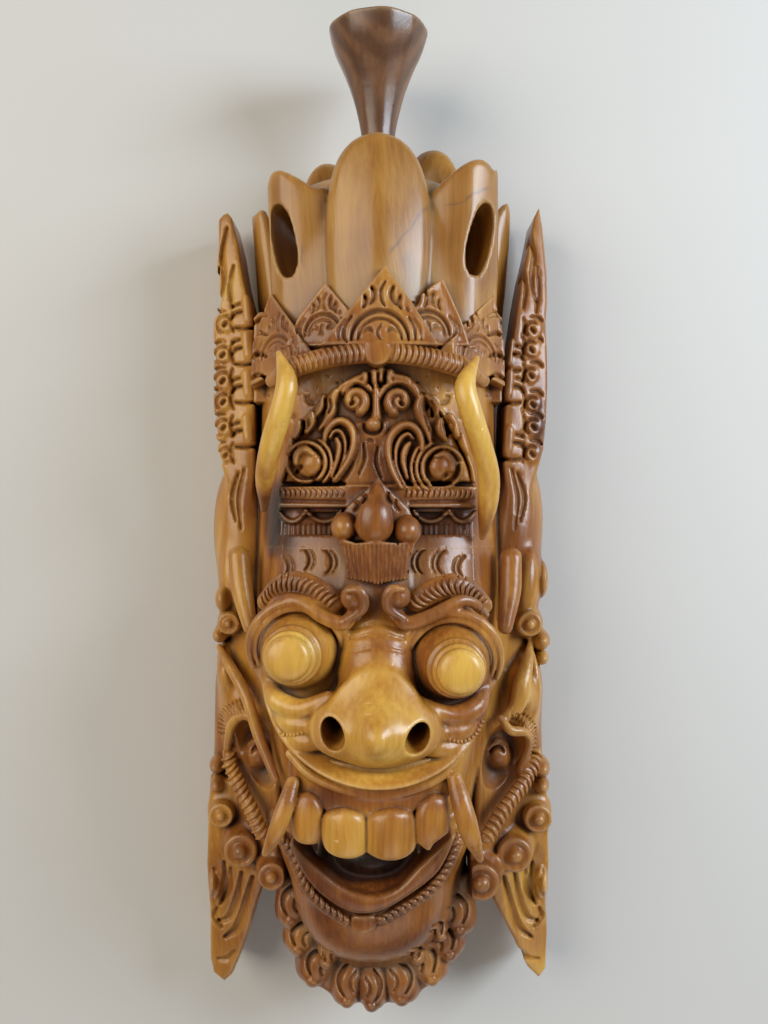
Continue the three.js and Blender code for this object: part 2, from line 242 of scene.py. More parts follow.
# %% Relief on the front of a block
class Relief:
    """Heights in millimetres over X and Y, to raise or sink a block's surface."""

    def __init__(self, block):
        self.block = block
        self.height = np.zeros(block.field.shape[:2], np.float32)

    def spread(self, points, radii, steps):
        """How far each point is from a line, as a share of the line's radius, near the line."""
        radii = np.broadcast_to(np.array(radii, float), len(points))
        rows = smooth_path([(*p, r) for p, r in zip(points, radii)], steps)
        reach = rows[:, 2].max() + self.block.grain
        low, high = rows[:, :2].min(0) - reach, rows[:, :2].max(0) + reach
        (cut_x, cut_y, _), x, y, _ = self.block.window((*low, 0), (*high, 0))
        x, y = x[:, :, 0], y[:, :, 0]
        share = np.full(np.broadcast(x, y).shape, 2.0, np.float32)
        for (ax, ay, ra), (bx, by, rb) in zip(rows, rows[1:]):
            dx, dy = bx - ax, by - ay
            t = np.clip(((x - ax) * dx + (y - ay) * dy) / max(dx * dx + dy * dy, 1e-9), 0, 1)
            far = np.hypot(x - ax - t * dx, y - ay - t * dy)
            share = np.minimum(share, far / np.maximum(ra + t * (rb - ra), 0.05))
        return (cut_x, cut_y), np.clip(share, 0, 1)

    def ridge(self, points, radii, height, steps=6):
        """A rounded cord that stands proud along a line."""
        spot, share = self.spread(points, radii, steps)
        proud = height * np.sqrt(1 - share**2)
        self.height[spot] = np.where(share < 1, np.maximum(self.height[spot], proud), self.height[spot])

    def groove(self, points, radii, depth, steps=6):
        """A gouge cut along a line, deepest in its middle."""
        spot, share = self.spread(points, radii, steps)
        self.height[spot] -= depth * (1 - share) * (1 + share)

    def curl(self, centre, radius, turns, start, radii, height, hand=1):
        """A ridge that winds in to a centre. start is its outer end's angle in degrees."""
        angles = np.linspace(0, turns * 2 * math.pi, int(10 * turns) + 4)
        shrink = 1 - angles / angles[-1] * 0.86
        begin = math.radians(start)
        points = [(centre[0] + radius * s * math.cos(begin + hand * a),
                   centre[1] + radius * s * math.sin(begin + hand * a)) for a, s in zip(angles, shrink)]
        self.ridge(points, np.linspace(radii[0], radii[1], len(points)), height, steps=2)

    def sink(self, outline, depth, edge=1.0):
        """Sinks, or with a negative depth raises, all that lies inside an outline."""
        outline = np.array(outline, float)
        (cut_x, cut_y, _), x, y, _ = self.block.window((*(outline.min(0) - edge), 0),
                                                       (*(outline.max(0) + edge), 0))
        inside = np.clip(0.5 - outline_distance(x[:, :, 0], y[:, :, 0], outline) / (2 * edge), 0, 1)
        self.height[cut_x, cut_y] -= depth * inside

    def carve(self, lowest=None, strength=1.0):
        """Raises the block's surface by the relief, above a lowest height if one is given."""
        block = self.block
        padded = np.pad(self.height, 1, mode="edge")
        self.height = (padded[:-2, 1:-1] + padded[2:, 1:-1] + padded[1:-1, :-2] + padded[1:-1, 2:]
                       + 4 * padded[1:-1, 1:-1]) / 8
        share = np.ones(len(block.axes[2]), np.float32)
        if lowest is not None:
            share = np.clip((block.axes[2] - lowest) / 3, 0, 1).astype(np.float32)
        block.field -= self.height[:, :, None] * share[None, None, :] * strength


# %% [markdown]
# ## From the grid to a mesh
# OpenVDB follows the zero of the distances and gives a closed skin of small faces. The colour follows
# the carving: painted shade darkens what lies deep, and a painted highlight lightens what stands
# proud. So each point stores how deep it sits, measured as the share of wood in a ball round it.

# %% Skins and how deep they lie
def box_blur(values, radius, grain):
    """The average of values over a cube round each point, twice, which comes close to a ball."""
    reach = max(int(round(radius / grain)), 1)
    for _ in range(2):
        for axis in range(3):
            pad = [(0, 0)] * 3
            pad[axis] = (reach + 1, reach)
            total = np.cumsum(np.pad(values, pad, mode="edge"), axis=axis, dtype=np.float32)
            count = values.shape[axis]
            upper = np.take(total, range(2 * reach + 1, 2 * reach + 1 + count), axis=axis)
            lower = np.take(total, range(0, count), axis=axis)
            values = (upper - lower) / (2 * reach + 1)
    return values


def sample(values, low, grain, points):
    """The grid's values at points, between its lines."""
    place = (points - low) / grain
    place = np.clip(place, 0, np.array(values.shape) - 1.001)
    base = place.astype(int)
    part = place - base
    result = np.zeros(len(points), np.float32)
    for corner in range(8):
        step = np.array([corner & 1, corner >> 1 & 1, corner >> 2 & 1])
        weight = np.prod(np.where(step, part, 1 - part), axis=1)
        spot = base + step
        result += weight * values[spot[:, 0], spot[:, 1], spot[:, 2]]
    return result


def skin_of(block, calm=0.03):
    """The block's surface as points in millimetres, triangles and quads that face outwards.

    calm lets the skin use larger faces where the surface is calm."""
    field = np.pad(block.field, 1, constant_values=FAR)
    reach = 3 * block.grain
    grid = openvdb.FloatGrid(reach)
    grid.copyFromArray(np.clip(field, -reach, reach).astype(np.float32))
    points, triangles, quads = grid.convertToPolygons(adaptivity=calm)
    points = (points.astype(np.float64) - 1) * block.grain + block.low
    corners = [points[quads[:, i]] for i in range(4)]
    volume = np.einsum("ij,ij->i", corners[0], np.cross(corners[1], corners[2])).sum()
    volume += np.einsum("ij,ij->i", corners[0], np.cross(corners[2], corners[3])).sum()
    if volume < 0:
        triangles, quads = triangles[:, ::-1], quads[:, ::-1]
    return points, triangles, quads


def build_mesh(name, points, triangles, quads):
    """A smooth-shaded object from points in millimetres, triangles and quads."""
    mesh = bpy.data.meshes.new(name)
    mesh.vertices.add(len(points))
    mesh.vertices.foreach_set("co", (points * MM).astype(np.float32).ravel())
    order = np.concatenate([triangles.ravel(), quads.ravel()]).astype(np.int32)
    starts = np.concatenate([np.arange(len(triangles)) * 3,
                             len(triangles) * 3 + np.arange(len(quads)) * 4]).astype(np.int32)
    mesh.loops.add(len(order))
    mesh.loops.foreach_set("vertex_index", order)
    mesh.polygons.add(len(starts))
    mesh.polygons.foreach_set("loop_start", starts)
    mesh.polygons.foreach_set("use_smooth", np.ones(len(starts), bool))
    mesh.update(calc_edges=True)
    mesh.validate()
    piece = bpy.data.objects.new(name, mesh)
    bpy.context.scene.collection.objects.link(piece)
    return piece


BLOCKS = {}  # the carved blocks by name


def finish_block(name, block):
    BLOCKS[name] = block
    solid = float((block.field < 0).sum()) * (block.grain / 10) ** 3
    print(f"{name}: {block.field.size / 1e6:.1f} million grid points, {solid:.0f} cubic centimetres of wood")

# %% [markdown]
# ## The bare head
# Under the relief the head is one long body. Its section is a superellipse: fuller than a circle,
# as a face carved from a squared log is. Rows of half width and height run from chin to crown.

# %% The head's own surface
HEAD_Y = [-234, -222, -205, -188, -165, -140, -115, -90, -60, -30, 0, 30, 60, 84, 102]
HEAD_HALF = [10, 27, 38, 43, 46, 50, 55, 59, 62, 62, 62, 61, 60, 57, 50]
HEAD_HIGH = [40, 50, 66, 76, 80, 82, 86, 88, 88, 86, 78, 76, 80, 84, 80]
HEAD_POWER = 3.2


def head_skin(x, y):
    """The height of the bare head's surface over x and y."""
    half, high = np.interp(y, HEAD_Y, HEAD_HALF), np.interp(y, HEAD_Y, HEAD_HIGH)
    share = np.clip(1 - (np.abs(x) / half) ** HEAD_POWER, 0, 1)
    return high * share ** (1 / HEAD_POWER)


def head_body(low_y, high_y, bottom, shrink=0.0):
    """A stretch of the head, from a bottom height up to its skin."""

    def rule(x, y, z):
        skin = head_skin(x, np.clip(y, -233, 101)) - shrink
        ends = np.maximum(low_y - y, y - high_y)
        return np.maximum(np.maximum((z - skin) * 0.75, bottom - z), ends)

    return [((-66, low_y, bottom), (66, high_y, 96), rule)]


# %% [markdown]
# ## The face
# The face is the proudest part: two bulging eyes with stepped pupils, a broad snout whose upper
# edge stands over the bridge, and an upper lip flared out like a dish. Everything is a simple
# shape, joined with a wide blend where the wood flows and a narrow one where an edge is crisp.

# %% Carve the eyes, snout and upper lip
face = Block((-70, -124, 40), (68, -6, 134), grain=0.5)
face.add(head_body(-122, -6, 40), 0)


def mirrored_points(points, dx=0.0, dy=0.0):
    return [(-x + dx, y + dy, z) for x, y, z in points]


RING_POINTS = 19  # enough for a round ring, with two stretches between each pair


def along_ring(values):
    """One value, or a few of them, spread evenly over the points of a ring."""
    values = np.atleast_1d(values)
    return np.interp(np.linspace(0, 1, RING_POINTS), np.linspace(0, 1, len(values)), values)


def ring(centre, radius, height, thick, start=0, end=360):
    """A strand round an arc of a circle. Its height and thickness may change along it."""
    angles = np.radians(np.linspace(start, end, RING_POINTS))
    points = [(centre[0] + radius * math.cos(a), centre[1] + radius * math.sin(a), h)
              for a, h in zip(angles, along_ring(height))]
    return strand(points, along_ring(thick), steps=2)


def arc_points(centre, radius, start, end, count=12, tall=1.0):
    angles = np.radians(np.linspace(start, end, count))
    return [(centre[0] + radius * math.cos(a), centre[1] + radius * tall * math.sin(a)) for a in angles]


EYES = {"left": {"ball": (-34.5, -56), "pupil": (-37, -57), "side": -1},
        "right": {"ball": (32.5, -61), "pupil": (34.5, -62.5), "side": 1}}

# cheeks swell below the eyes, and the bridge of the nose runs down between them
face.add(lump((-35, -84, 80), (13, 14, 17)) + lump((34, -86, 80), (13, 14, 17)), 6)
face.add(strand([(0, -26, 84), (0, -45, 89), (0, -66, 95)], [13, 14, 17], flat=0.8), 4)
for eye in EYES.values():
    x, y = eye["ball"]
    face.add(lump((x * 0.95, y - 3, 82), (24.5, 24, 14.5)), 4)
    face.add(lump((x, y, 86), (18.2, 18.2, 23.5)), 1.6)
print("eye sockets and balls carved")

# the dish of the upper lip: a rim that stands proud, and a hollow inside it
LIP_EDGE = smooth_path([(-49, -60), (-52, -70), (-49, -83), (-42, -95), (-30, -104.5), (-15, -110.5),
                        (0, -112.5), (15, -111), (30, -105.5), (42, -96), (48, -84), (50, -72), (47, -60),
                        (40, -30), (-40, -30)], 4)
LIP_SLOPE = 0.0088


def lip_top(x, y):
    rim = 113 - LIP_SLOPE * x * x
    inside = -outline_distance(np.asarray(x, float), np.asarray(y, float), LIP_EDGE)
    scoop = np.clip(inside / 9, 0, 1)
    fall = np.clip(np.asarray(y, float) + 92, 0, 40)  # towards the eyes the dish sinks away
    brow_side = np.clip(np.asarray(y, float) + 61, 0, 9)  # between the eyes nothing of it is left
    return rim - 8.5 * scoop * scoop * (3 - 2 * scoop) - 0.75 * fall * scoop - 5 * brow_side


face.add(slab(LIP_EDGE, 88, lip_top, 1.6), 1.5)
face.cut(lump((0, -118, 84), (44, 13, 23)), 2)  # under the lip's flare

# puffy folds between the eye and the lip
for points in ([(-49, -70, 88), (-44, -78, 95), (-33, -81, 99), (-21, -75, 103)],
               [(-46, -79, 88), (-39, -87, 96), (-29, -88, 100)],
               [(-41, -90, 92), (-33, -95, 98), (-25, -94, 101)]):
    thick = [2.6, 4.6, 4.4, 2.6][:len(points)]
    face.add(strand(points, thick), 1.6)
    face.add(strand(mirrored_points(points, -1, -3), thick), 1.6)

# the snout is a shield with a crisp upper edge
SNOUT = smooth_path([(0, -61.5), (-8, -63.5), (-15, -69), (-20.5, -76), (-27, -81.5), (-29, -88),
                     (-26.5, -95), (-19, -99.5), (-8, -103.5), (0, -104.5), (8, -104), (18, -101),
                     (25, -96.5), (28, -90), (26, -83), (20, -76.5), (15, -69), (8, -63.5), (0, -61.5)],
                     4)[:-1]


def snout_top(x, y):
    wings = 7.5 * (np.exp(-((x + 19.5) / 8) ** 2) + np.exp(-((x - 18) / 8) ** 2))
    wings = wings * np.exp(-((y + 88) / 11) ** 2)
    tip = 19 * np.exp(-(x / 13) ** 2 - ((y + 88.5) / 15) ** 2)
    return 108.5 + tip + wings - 0.0035 * x * x - 0.08 * np.clip(-y - 96, 0, 20) ** 2


face.add(slab(SNOUT, 88, snout_top, 2.2), 2.5)
for centre, turn in (((-18.5, -88.5, 114), 12), ((17, -90, 114), -16)):
    face.cut(lump(centre, (5.0, 7.0, 26), turn=(8, 0, turn)), 1.6)
print("snout and lip carved")

# the lids: a rounded fold over each eye, and a finer one inside it
for eye in EYES.values():
    x, y = eye["ball"]
    span = (-20, 200)
    face.add(ring((x, y - 0.5), 22.0, (90, 97, 98.5, 97, 90), (1.2, 2.2, 2.4, 2.2, 1.2), *span), 2.2)
    face.add(ring((x, y - 0.5), 19.2, (91, 97.5, 98.5, 97.5, 91), (0.9, 1.5, 1.6, 1.5, 0.9), *span), 0.5)
    px, py = eye["pupil"]
    face.add(drum((px - eye["side"] * 0.6, py + 0.3), 12.9, 90, 109.5, 2.5, 1.0), 0.3)
    face.add(drum((px, py), 11.2, 90, 112.5, 2.2, 1.0), 0.3)
    face.add(drum((px + eye["side"] * 0.4, py), 9.6, 90, 116.5, 2.2, 2.2), 0.2)

# the brows: a smooth wave from each scroll, with a bed for the comb above it
BROW = {"left": [(-10, -39, 104), (-14.5, -43.5, 103), (-23, -41, 102), (-30, -36.5, 101), (-37, -33.5, 99),
                 (-44, -34.5, 95), (-49.5, -39, 88)],
        "right": [(8.5, -39, 104), (13, -43.5, 103), (23, -40.5, 102), (30, -37, 101), (37, -34, 99),
                  (44, -36.5, 95), (49, -41.5, 88)]}
COMB = {"left": [(-19, -35, 97), (-27, -29.5, 96), (-35, -27, 94), (-43, -29, 90), (-50, -36, 83)],
        "right": [(17, -35, 97), (25, -30, 96), (33.5, -28, 94), (41, -31, 90), (47.5, -37.5, 84)]}
for side in ("left", "right"):
    face.add(strand(COMB[side], [4.4, 5.4, 5.6, 5.4, 4.4], flat=0.6), 2)
    face.add(strand([(x, y, z - 1.0) for x, y, z in BROW[side]], [2.6, 3.3, 3.1, 2.9, 2.6, 2.2, 1.2],
                    flat=0.85),
             1.8)
for x, y, hand in ((-10.2, -32.3, 1), (8.8, -31.8, -1)):
    face.add(lump((x, y, 103), (5.6, 5.6, 6.2)), 0.8)
    face.add(strand([(x - hand * 2, y + 3.5, 108.5), (x + hand * 2.6, y + 3.4, 108.6),
                     (x + hand * 4.6, y - 0.6, 107.5), (x + hand * 3.6, y - 5, 106),
                     (x - hand * 2.5, y - 9.5, 104)],
                    [1.2, 2.2, 2.4, 2.2, 1.6]), 0.8)
for points, thick in (([(-66, -17, 62), (-64, -32, 65), (-59.5, -49, 70)], [5.4, 5.2, 3.4]),
                      ([(63.5, -18, 62), (62.5, -33, 65), (59.5, -49, 70)], [5.6, 5.2, 3.6])):
    face.add(strand(points, thick), 0.8)

# gouge cuts: the scales above the combs, and the creases on the snout and bridge
cuts = Relief(face)
for x, y, radius, tilt in ((-43, -17.5, 6, 8), (-33.5, -18.5, 6.4, 6), (-23.5, -18.5, 7, 2),
                           (-52, -21, 5.5, 12),
                           (21, -19.5, 7, -4), (30.5, -18.5, 6.4, -6), (39.5, -19, 6.2, -8),
                           (48, -21, 5.5, -12)):
    side = -1 if x < 0 else 1
    middle = 180 + tilt if side > 0 else tilt
    for shift, spread, thick in ((0, 58, 0.9), (-2.4, 50, 0.7)):
        curve = arc_points((x - side * (radius - shift), y), radius, middle - spread, middle + spread, 9)
        cuts.groove(curve,
                    [0.4, thick * 0.6, thick * 0.9, thick, thick, thick, thick * 0.9, thick * 0.6, 0.4],
                    thick * 1.6,
                    steps=2)
for centre, radius in (((-1.5, -92.5), 17), ((-0.5, -95.5), 16.5)):
    cuts.groove(arc_points(centre, radius, 76, 106, 7), [0.4, 0.7, 0.8, 0.8, 0.8, 0.7, 0.4], 0.7, steps=2)
for y, half in ((-44, 11), (-48, 12), (-53.5, 13)):
    cuts.groove([(-half, y - 3), (0, y), (half, y - 3)], [0.6, 1.1, 0.6], 0.5)
cuts.carve(lowest=70)
finish_block("face", face)


# %% [markdown]
# ## The forehead
# Between two long horns stands an arched panel full of scrolls. On a real mask it is drawn on the
# block, the ground is cut back, and each scroll is rounded over. Here the panel is a slab, and a
# relief of ridges and grooves gives the scrolls, leaves and the scalloped recess under them.

# %% Carve the forehead
forehead = Block((-63, -28, 44), (63, 82, 118), grain=0.5)
forehead.add(head_body(-13, 81, 44), 0)
PANEL = smooth_path([(-46, 16), (-42, 30), (-38, 41), (-30, 50), (-20, 59), (-10, 65), (1, 69), (12, 65.5),
                     (22, 59), (31, 49), (38, 38), (44, 26), (46, 16)], 3)
forehead.add(slab(PANEL, 60, lambda x, y: 84.5 - 0.0052 * x * x + 0.03 * y, 2.0), 2.5)
forehead.add(slab([(-46, 6.5), (-46, 17), (46, 17), (46, 6.5)], 60,
                  lambda x, y: 85.5 - 0.0055 * x * x + 0 * y, 1.2), 1)
for side in (-1, 1):  # the dark recess under the panel
    forehead.cut(slab([(side * 16, 4.5), (side * 16, -11), (side * 47, -11), (side * 46, 4.5)], 72.5,
                      110, 1.0), 1.0)
HORNS = ([(-53, 6, 70), (-51, 20, 82), (-46.5, 36, 92), (-41.5, 50, 97), (-39.5, 62, 97), (-43.5, 74.5, 92)],
         [(48.5, -7, 74), (50, 6, 80), (50, 20, 86), (46, 34, 92), (41, 48, 97), (38.5, 60, 97),
          (44, 72.5, 92)])

work = Relief(forehead)
GROUND = [(x * 0.965, 16.8 + (y - 16) * 0.955) for x, y in PANEL]
work.sink(GROUND, 2.4, 0.7)
work.sink([(-10, 45), (4, 45), (4.5, 38), (4, 30), (6, 23), (10, 16), (-17, 16), (-12, 24), (-9.5, 32)],
          -1.6, 0.8)
CANES = [  # strands that rise beside the middle and hook outwards: points, radii, height
    ([(-19.5, 18.6), (-13.6, 26.9), (-11, 33.4), (-10.9, 39.9), (-13.6, 44.3), (-17.6, 45.4), (-21.5, 43.1),
      (-23.4, 39.9), (-23.9, 36.8)], [1.0, 1.5, 1.7, 1.8, 1.9, 1.9, 1.8, 1.5, 0.9], 4.6),
    ([(-18.4, 19.6), (-14.6, 30.1), (-14.5, 36.6), (-16.4, 40.6), (-19.4, 40.9), (-21.6, 38)],
     [0.7, 1.0, 1.1, 1.1, 1.0, 0.6], 2.8),
    ([(-20.4, 20.4), (-17.9, 28.8), (-17.2, 34.2), (-18.3, 37.4)], [0.8, 1.4, 1.5, 1.1], 3.4),
    ([(10.7, 15.5), (6.6, 23.6), (4.9, 31.4), (5.9, 37.9), (9.8, 42.5), (14.3, 43.6), (18.2, 41.2),
      (20.1, 36.6), (20.1, 32.4)], [1.0, 1.5, 1.7, 1.8, 1.9, 1.9, 1.8, 1.5, 0.8], 4.6),
    ([(12.3, 16.5), (8.6, 24.9), (8.3, 32.1), (10.2, 37.2), (13.6, 39.6), (16.4, 37.6)],
     [0.7, 1.0, 1.1, 1.1, 1.0, 0.6], 2.8),
    ([(13.4, 20), (11.6, 27.6), (12.6, 32.6), (14.4, 35.4)], [0.8, 1.5, 1.6, 1.0], 3.4),
]
LEAF_LOBES = [  # the flame leaves along the arch
    ([(-18.6, 58.6), (-20.6, 54.2), (-21.2, 49.6), (-23.4, 45.2), (-26, 42)], [1.6, 2.6, 2.4, 1.6, 0.9], 4.0),
    ([(-24.3, 56.4), (-25.5, 52.2), (-27.6, 48.6)], [1.2, 2.0, 0.9], 3.4),
    ([(-29.7, 49.2), (-30.3, 45.6), (-32.3, 41)], [1.5, 2.5, 1.1], 3.8),
    ([(-35.5, 45.8), (-36.2, 42.4), (-37.9, 38.6)], [1.4, 2.2, 0.9], 3.4),
    ([(-39.5, 38.5), (-40.6, 35.2), (-42, 31.5)], [1.0, 1.7, 0.7], 3.0),
    ([(19.8, 56.1), (18.9, 51.6), (20.6, 46.4), (22.8, 41.2), (23.8, 36.6)], [2.0, 2.6, 2.4, 2.0, 0.9], 4.2),
    ([(22.7, 56.4), (25.8, 53.5), (27, 48.6)], [1.6, 1.8, 0.9], 3.6),
    ([(28.6, 45.9), (28.7, 41.8), (30.8, 37.7)], [1.5, 2.3, 1.0], 3.6),
    ([(33.5, 48.3), (35.1, 44.4), (36.6, 39)], [1.6, 2.3, 1.0], 3.8),
    ([(38.6, 40.4), (39.8, 36), (41.4, 31.4)], [1.0, 1.8, 0.7], 3.0),
    ([(-15.3, 58.4), (-12.4, 62.2), (-7.4, 65.0)], [1.2, 1.9, 1.5], 3.0),
    ([(7.1, 65.3), (13.4, 63.5), (17.3, 59.6), (18.8, 56.5)], [1.5, 2.0, 2.0, 1.4], 3.4),
]
CUTS = [  # gouge cuts: comma holes in the leaves, and the slits that part the knobs at the top
    ([(-23.7, 55.5), (-23.2, 52.2), (-24.3, 50)], [0.8, 1.3, 0.7], 3.4),
    ([(-21.4, 55.4), (-20.8, 52.2), (-21.9, 49)], [0.6, 1.0, 0.6], 2.8),
    ([(-34.0, 45.9), (-33.6, 43.1), (-35.0, 40.4)], [0.8, 1.4, 0.7], 3.4),
    ([(-31.6, 46.6), (-31.0, 44.3), (-32, 41.9)], [0.6, 1.0, 0.5], 2.6),
    ([(21.7, 55.3), (22.8, 52.9), (21.6, 50.4)], [0.6, 1.1, 0.6], 2.8),
    ([(24.4, 54.0), (25.7, 50.8), (24.9, 48.2)], [0.9, 1.5, 0.7], 3.6),
    ([(21.3, 47.4), (22.7, 44.4), (23.4, 41.2)], [0.5, 0.9, 0.5], 2.2),
    ([(30.3, 44.2), (32.0, 41.6), (31.5, 39)], [0.7, 1.3, 0.7], 3.4),
    ([(32.5, 46.3), (34.1, 43.8), (34.3, 41)], [0.6, 1.1, 0.5], 2.6),
    ([(-6.4, 35.6), (-6.1, 28.4), (-8.6, 21.4)], [0.5, 1.0, 0.6], 1.6),
    ([(0.3, 34.2), (-0.6, 26.9), (1.8, 19.6)], [0.5, 1.0, 0.6], 1.6),
    ([(-3.4, 66.8), (-3.7, 63.6), (-5.1, 61.4)], [0.8, 1.0, 0.8], 3.4),
    ([(0.4, 66.2), (0.3, 60.4)], [0.8, 0.9], 2.8),
    ([(3.6, 67.4), (3.2, 64.6), (4.2, 62.2)], [0.8, 1.1, 0.8], 3.4),
    (arc_points((-3.3, 35.6), 1.5, 15, 165, 6), [0.4, 0.7, 0.9, 0.9, 0.7, 0.4], 1.2),
    (arc_points((-2.0, 43.8), 3.9, 170, 372, 9), [0.6, 1.0, 1.1, 1.1, 1.1, 1.1, 1.1, 1.0, 0.6], 2.2),
]
PANEL_ROSETTES = [  # middle, ball, eye, crest, and the arcs: radius, start, end, thickness, height
    ((-32.6, 26.8), (-31.2, 26.4), [(-34.8, 25.0), (-37, 22.8)], [(-37.3, 26.5), (-36.4, 30.9), (-32.8, 32.6),
     (-29.2, 30.6)], [(9.3, -55, 150, 1.2, 3.4), (12.0, -48, 62, 1.0, 2.8), (8.6, 168, 292, 0.9, 2.0)]),
    ((29.9, 24.3), (29.4, 24.8), [(31.2, 21.4), (28.6, 18.8)], [(26.6, 29.6), (30.6, 30.4), (33.6, 27.6),
     (34.0, 23.8)], [(9.6, 28, 235, 1.2, 3.4), (12.2, 112, 235, 1.1, 3.0), (14.6, 138, 224, 1.0, 2.4),
                     (8.6, -80, 15, 0.9, 2.0)]),
]
for middle, ball, eye, crest, arcs in PANEL_ROSETTES:
    for radius, start, end, thick, proud in arcs:
        work.ridge(arc_points(middle, radius, start, end, 15), [thick * 0.5, *[thick] * 13, thick * 0.5],
                   proud, steps=2)
    work.ridge([ball, (ball[0] + 0.4, ball[1] + 0.4)], 6.0, 4.6)
    work.ridge(crest, [1.2, 2.2, 2.3, 1.6], 5.6)
    work.groove(eye, [1.5, 0.9], 3.8)
for centre, start, hand in (((-10.1, 54.4), -62, 1), ((9.7, 54.2), 242, -1)):
    work.ridge(arc_points(centre, 8.7, 100 - 70 * hand, 100 + 62 * hand, 12), [0.8, *[1.25] * 10, 0.8], 3.2,
               steps=2)
    work.curl(centre, 5.3, 1.3, start, (2.3, 1.7), 5.0, hand=hand)
    work.groove([(centre[0] - hand * 1.6, centre[1] - 1.8), (centre[0] - hand * 0.9, centre[1] - 1.4)], 1.3,
                3.4)
for points, radii, proud in CANES + LEAF_LOBES:
    work.ridge(points, radii, proud)
for x, y, r in ((-5.6, 64.4, 1.8), (-1.3, 65.4, 1.9), (1.8, 66.6, 1.8), (5.9, 65.4, 2.0)):
    work.ridge([(x, y + 1.4), (x * 0.85, y - 2.8)], [r, r * 0.7], 4.2)
work.ridge([(-0.4, 61), (-0.4, 47.5)], [1.4, 2.2], 3.2)
work.ridge([(-2.0, 43.8), (-1.9, 43.9)], 3.3, 4.8)
for points, radii, depth in CUTS:
    work.groove(points, radii, depth, steps=4)
for side in (-1, 1):
    # a scalloped hem hangs into the recess, over fine upright grooves
    for centre, half in ((24.5, 8.0), (39.5, 6.5)):
        work.ridge([(side * (centre + half * t), 4.6 - 4.6 * (1 - t * t)) for t in np.linspace(-1, 1, 9)],
                   1.2, 2.0, steps=2)
    for x in np.arange(18.5, 45.5, 2.4):
        work.groove([(side * x, -1.5), (side * x, -9.5)], 0.95, 0.8)
    # crescents on the bare wood beside the arch, like scales
    for x, y in ((15.5, 66), (24, 62), (29.5, 57.5), (35.5, 63), (38, 52), (20, 69.5)):
        for radius, thick in ((3.5, 0.8), (2.4, 0.6)):
            span = (150, 275) if side < 0 else (-95, 30)
            work.groove(arc_points((side * x, y), radius, *span, 7), [0.4, *[thick] * 5, 0.4], 1.1, steps=2)
    work.groove([(side * 15, 9.0), (side * 46, 9.8)], 1.1, 1.6)
    work.groove([(side * 15, 17.0), (side * 46, 17.4)], 1.1, 1.8)
work.carve(lowest=66)
for points in HORNS:
    forehead.add(strand(points, [1.6, 4.4, *[5.0] * (len(points) - 4), 4.6, 1.4]), 1.2)

# the drop with its two lobes, its leaf panels and the pleated fan below
DROP_BACK = [(-20, -4), (-13, 7), (-6, 13), (0.6, 19), (8, 11.5), (14, 6), (19, -6), (10, -9), (-12, -8)]
forehead.add(slab(DROP_BACK, 70, lambda x, y: 97 - 0.012 * x * x + 0 * y, 1.0), 1)
forehead.add(slab([(-16.8, -6.5), (-9, -9), (0, -8), (9, -9), (16.8, -8.5), (14.8, -15), (13.8, -25.5),
                   (0, -27), (-14, -25), (-15.2, -14)], 70,
                  lambda x, y: 102.5 - 0.022 * x * x + 0.12 * (y + 26), 1.0), 0.8)
forehead.add(strand([(0.6, 19.5, 94), (0, 12, 98), (-1, 4, 100.5), (-1.2, -1, 100)], [0.5, 3.6, 7.4, 8.4],
                    flat=0.85), 0.6)
forehead.add(lump((-14.6, -2, 95), (5.9, 6.4, 8.5)) + lump((13.2, -3.6, 95), (6.1, 6.6, 8.5)), 0.5)
fan = Relief(forehead)
for x in np.arange(-15.2, 15.6, 1.85):
    fan.groove([(x, -10), (x * 0.88, -26)], 0.85, 1.0)
for side in (-1, 1):
    for x, y in ((9.5, 7.5), (6.2, 10.5)):
        fan.groove([(side * x - 1, y + 2.6), (side * x - side * 1.6, y), (side * x + side * 0.4, y - 2.6)],
                   [0.4, 1.0, 0.4], 1.5)
fan.carve(lowest=90)
finish_block("forehead", forehead)


# %% [markdown]
# ## The tiara
# Five pointed leaves stand on a band. Each leaf is a flat slab, and the pattern is cut into it with
# gouges: two nested arches, two scrolls under them, and flames that lick up to the peak. The pattern is
# written once, for a leaf of unit size, and each leaf stretches it to its own place.

# %% Carve the tiara
tiara = Block((-65, 50, 18), (65, 116, 106), grain=0.5)
tiara.add(head_body(58, 103, 18), 0)
BAND = [(-48, 65, 76), (-38, 69.2, 86), (-20, 73, 92.5), (0, 74.6, 94.5), (20, 73, 92.5), (38, 69.2, 86),
        (48, 65, 76)]
tiara.add(strand(BAND, [3.6, *[4.6] * (len(BAND) - 2), 3.6], flat=0.85), 0.8)
tiara.add(drum((0, 74.4), 5.8, 88, 99.0, 0.7, 0.8), 0.6)


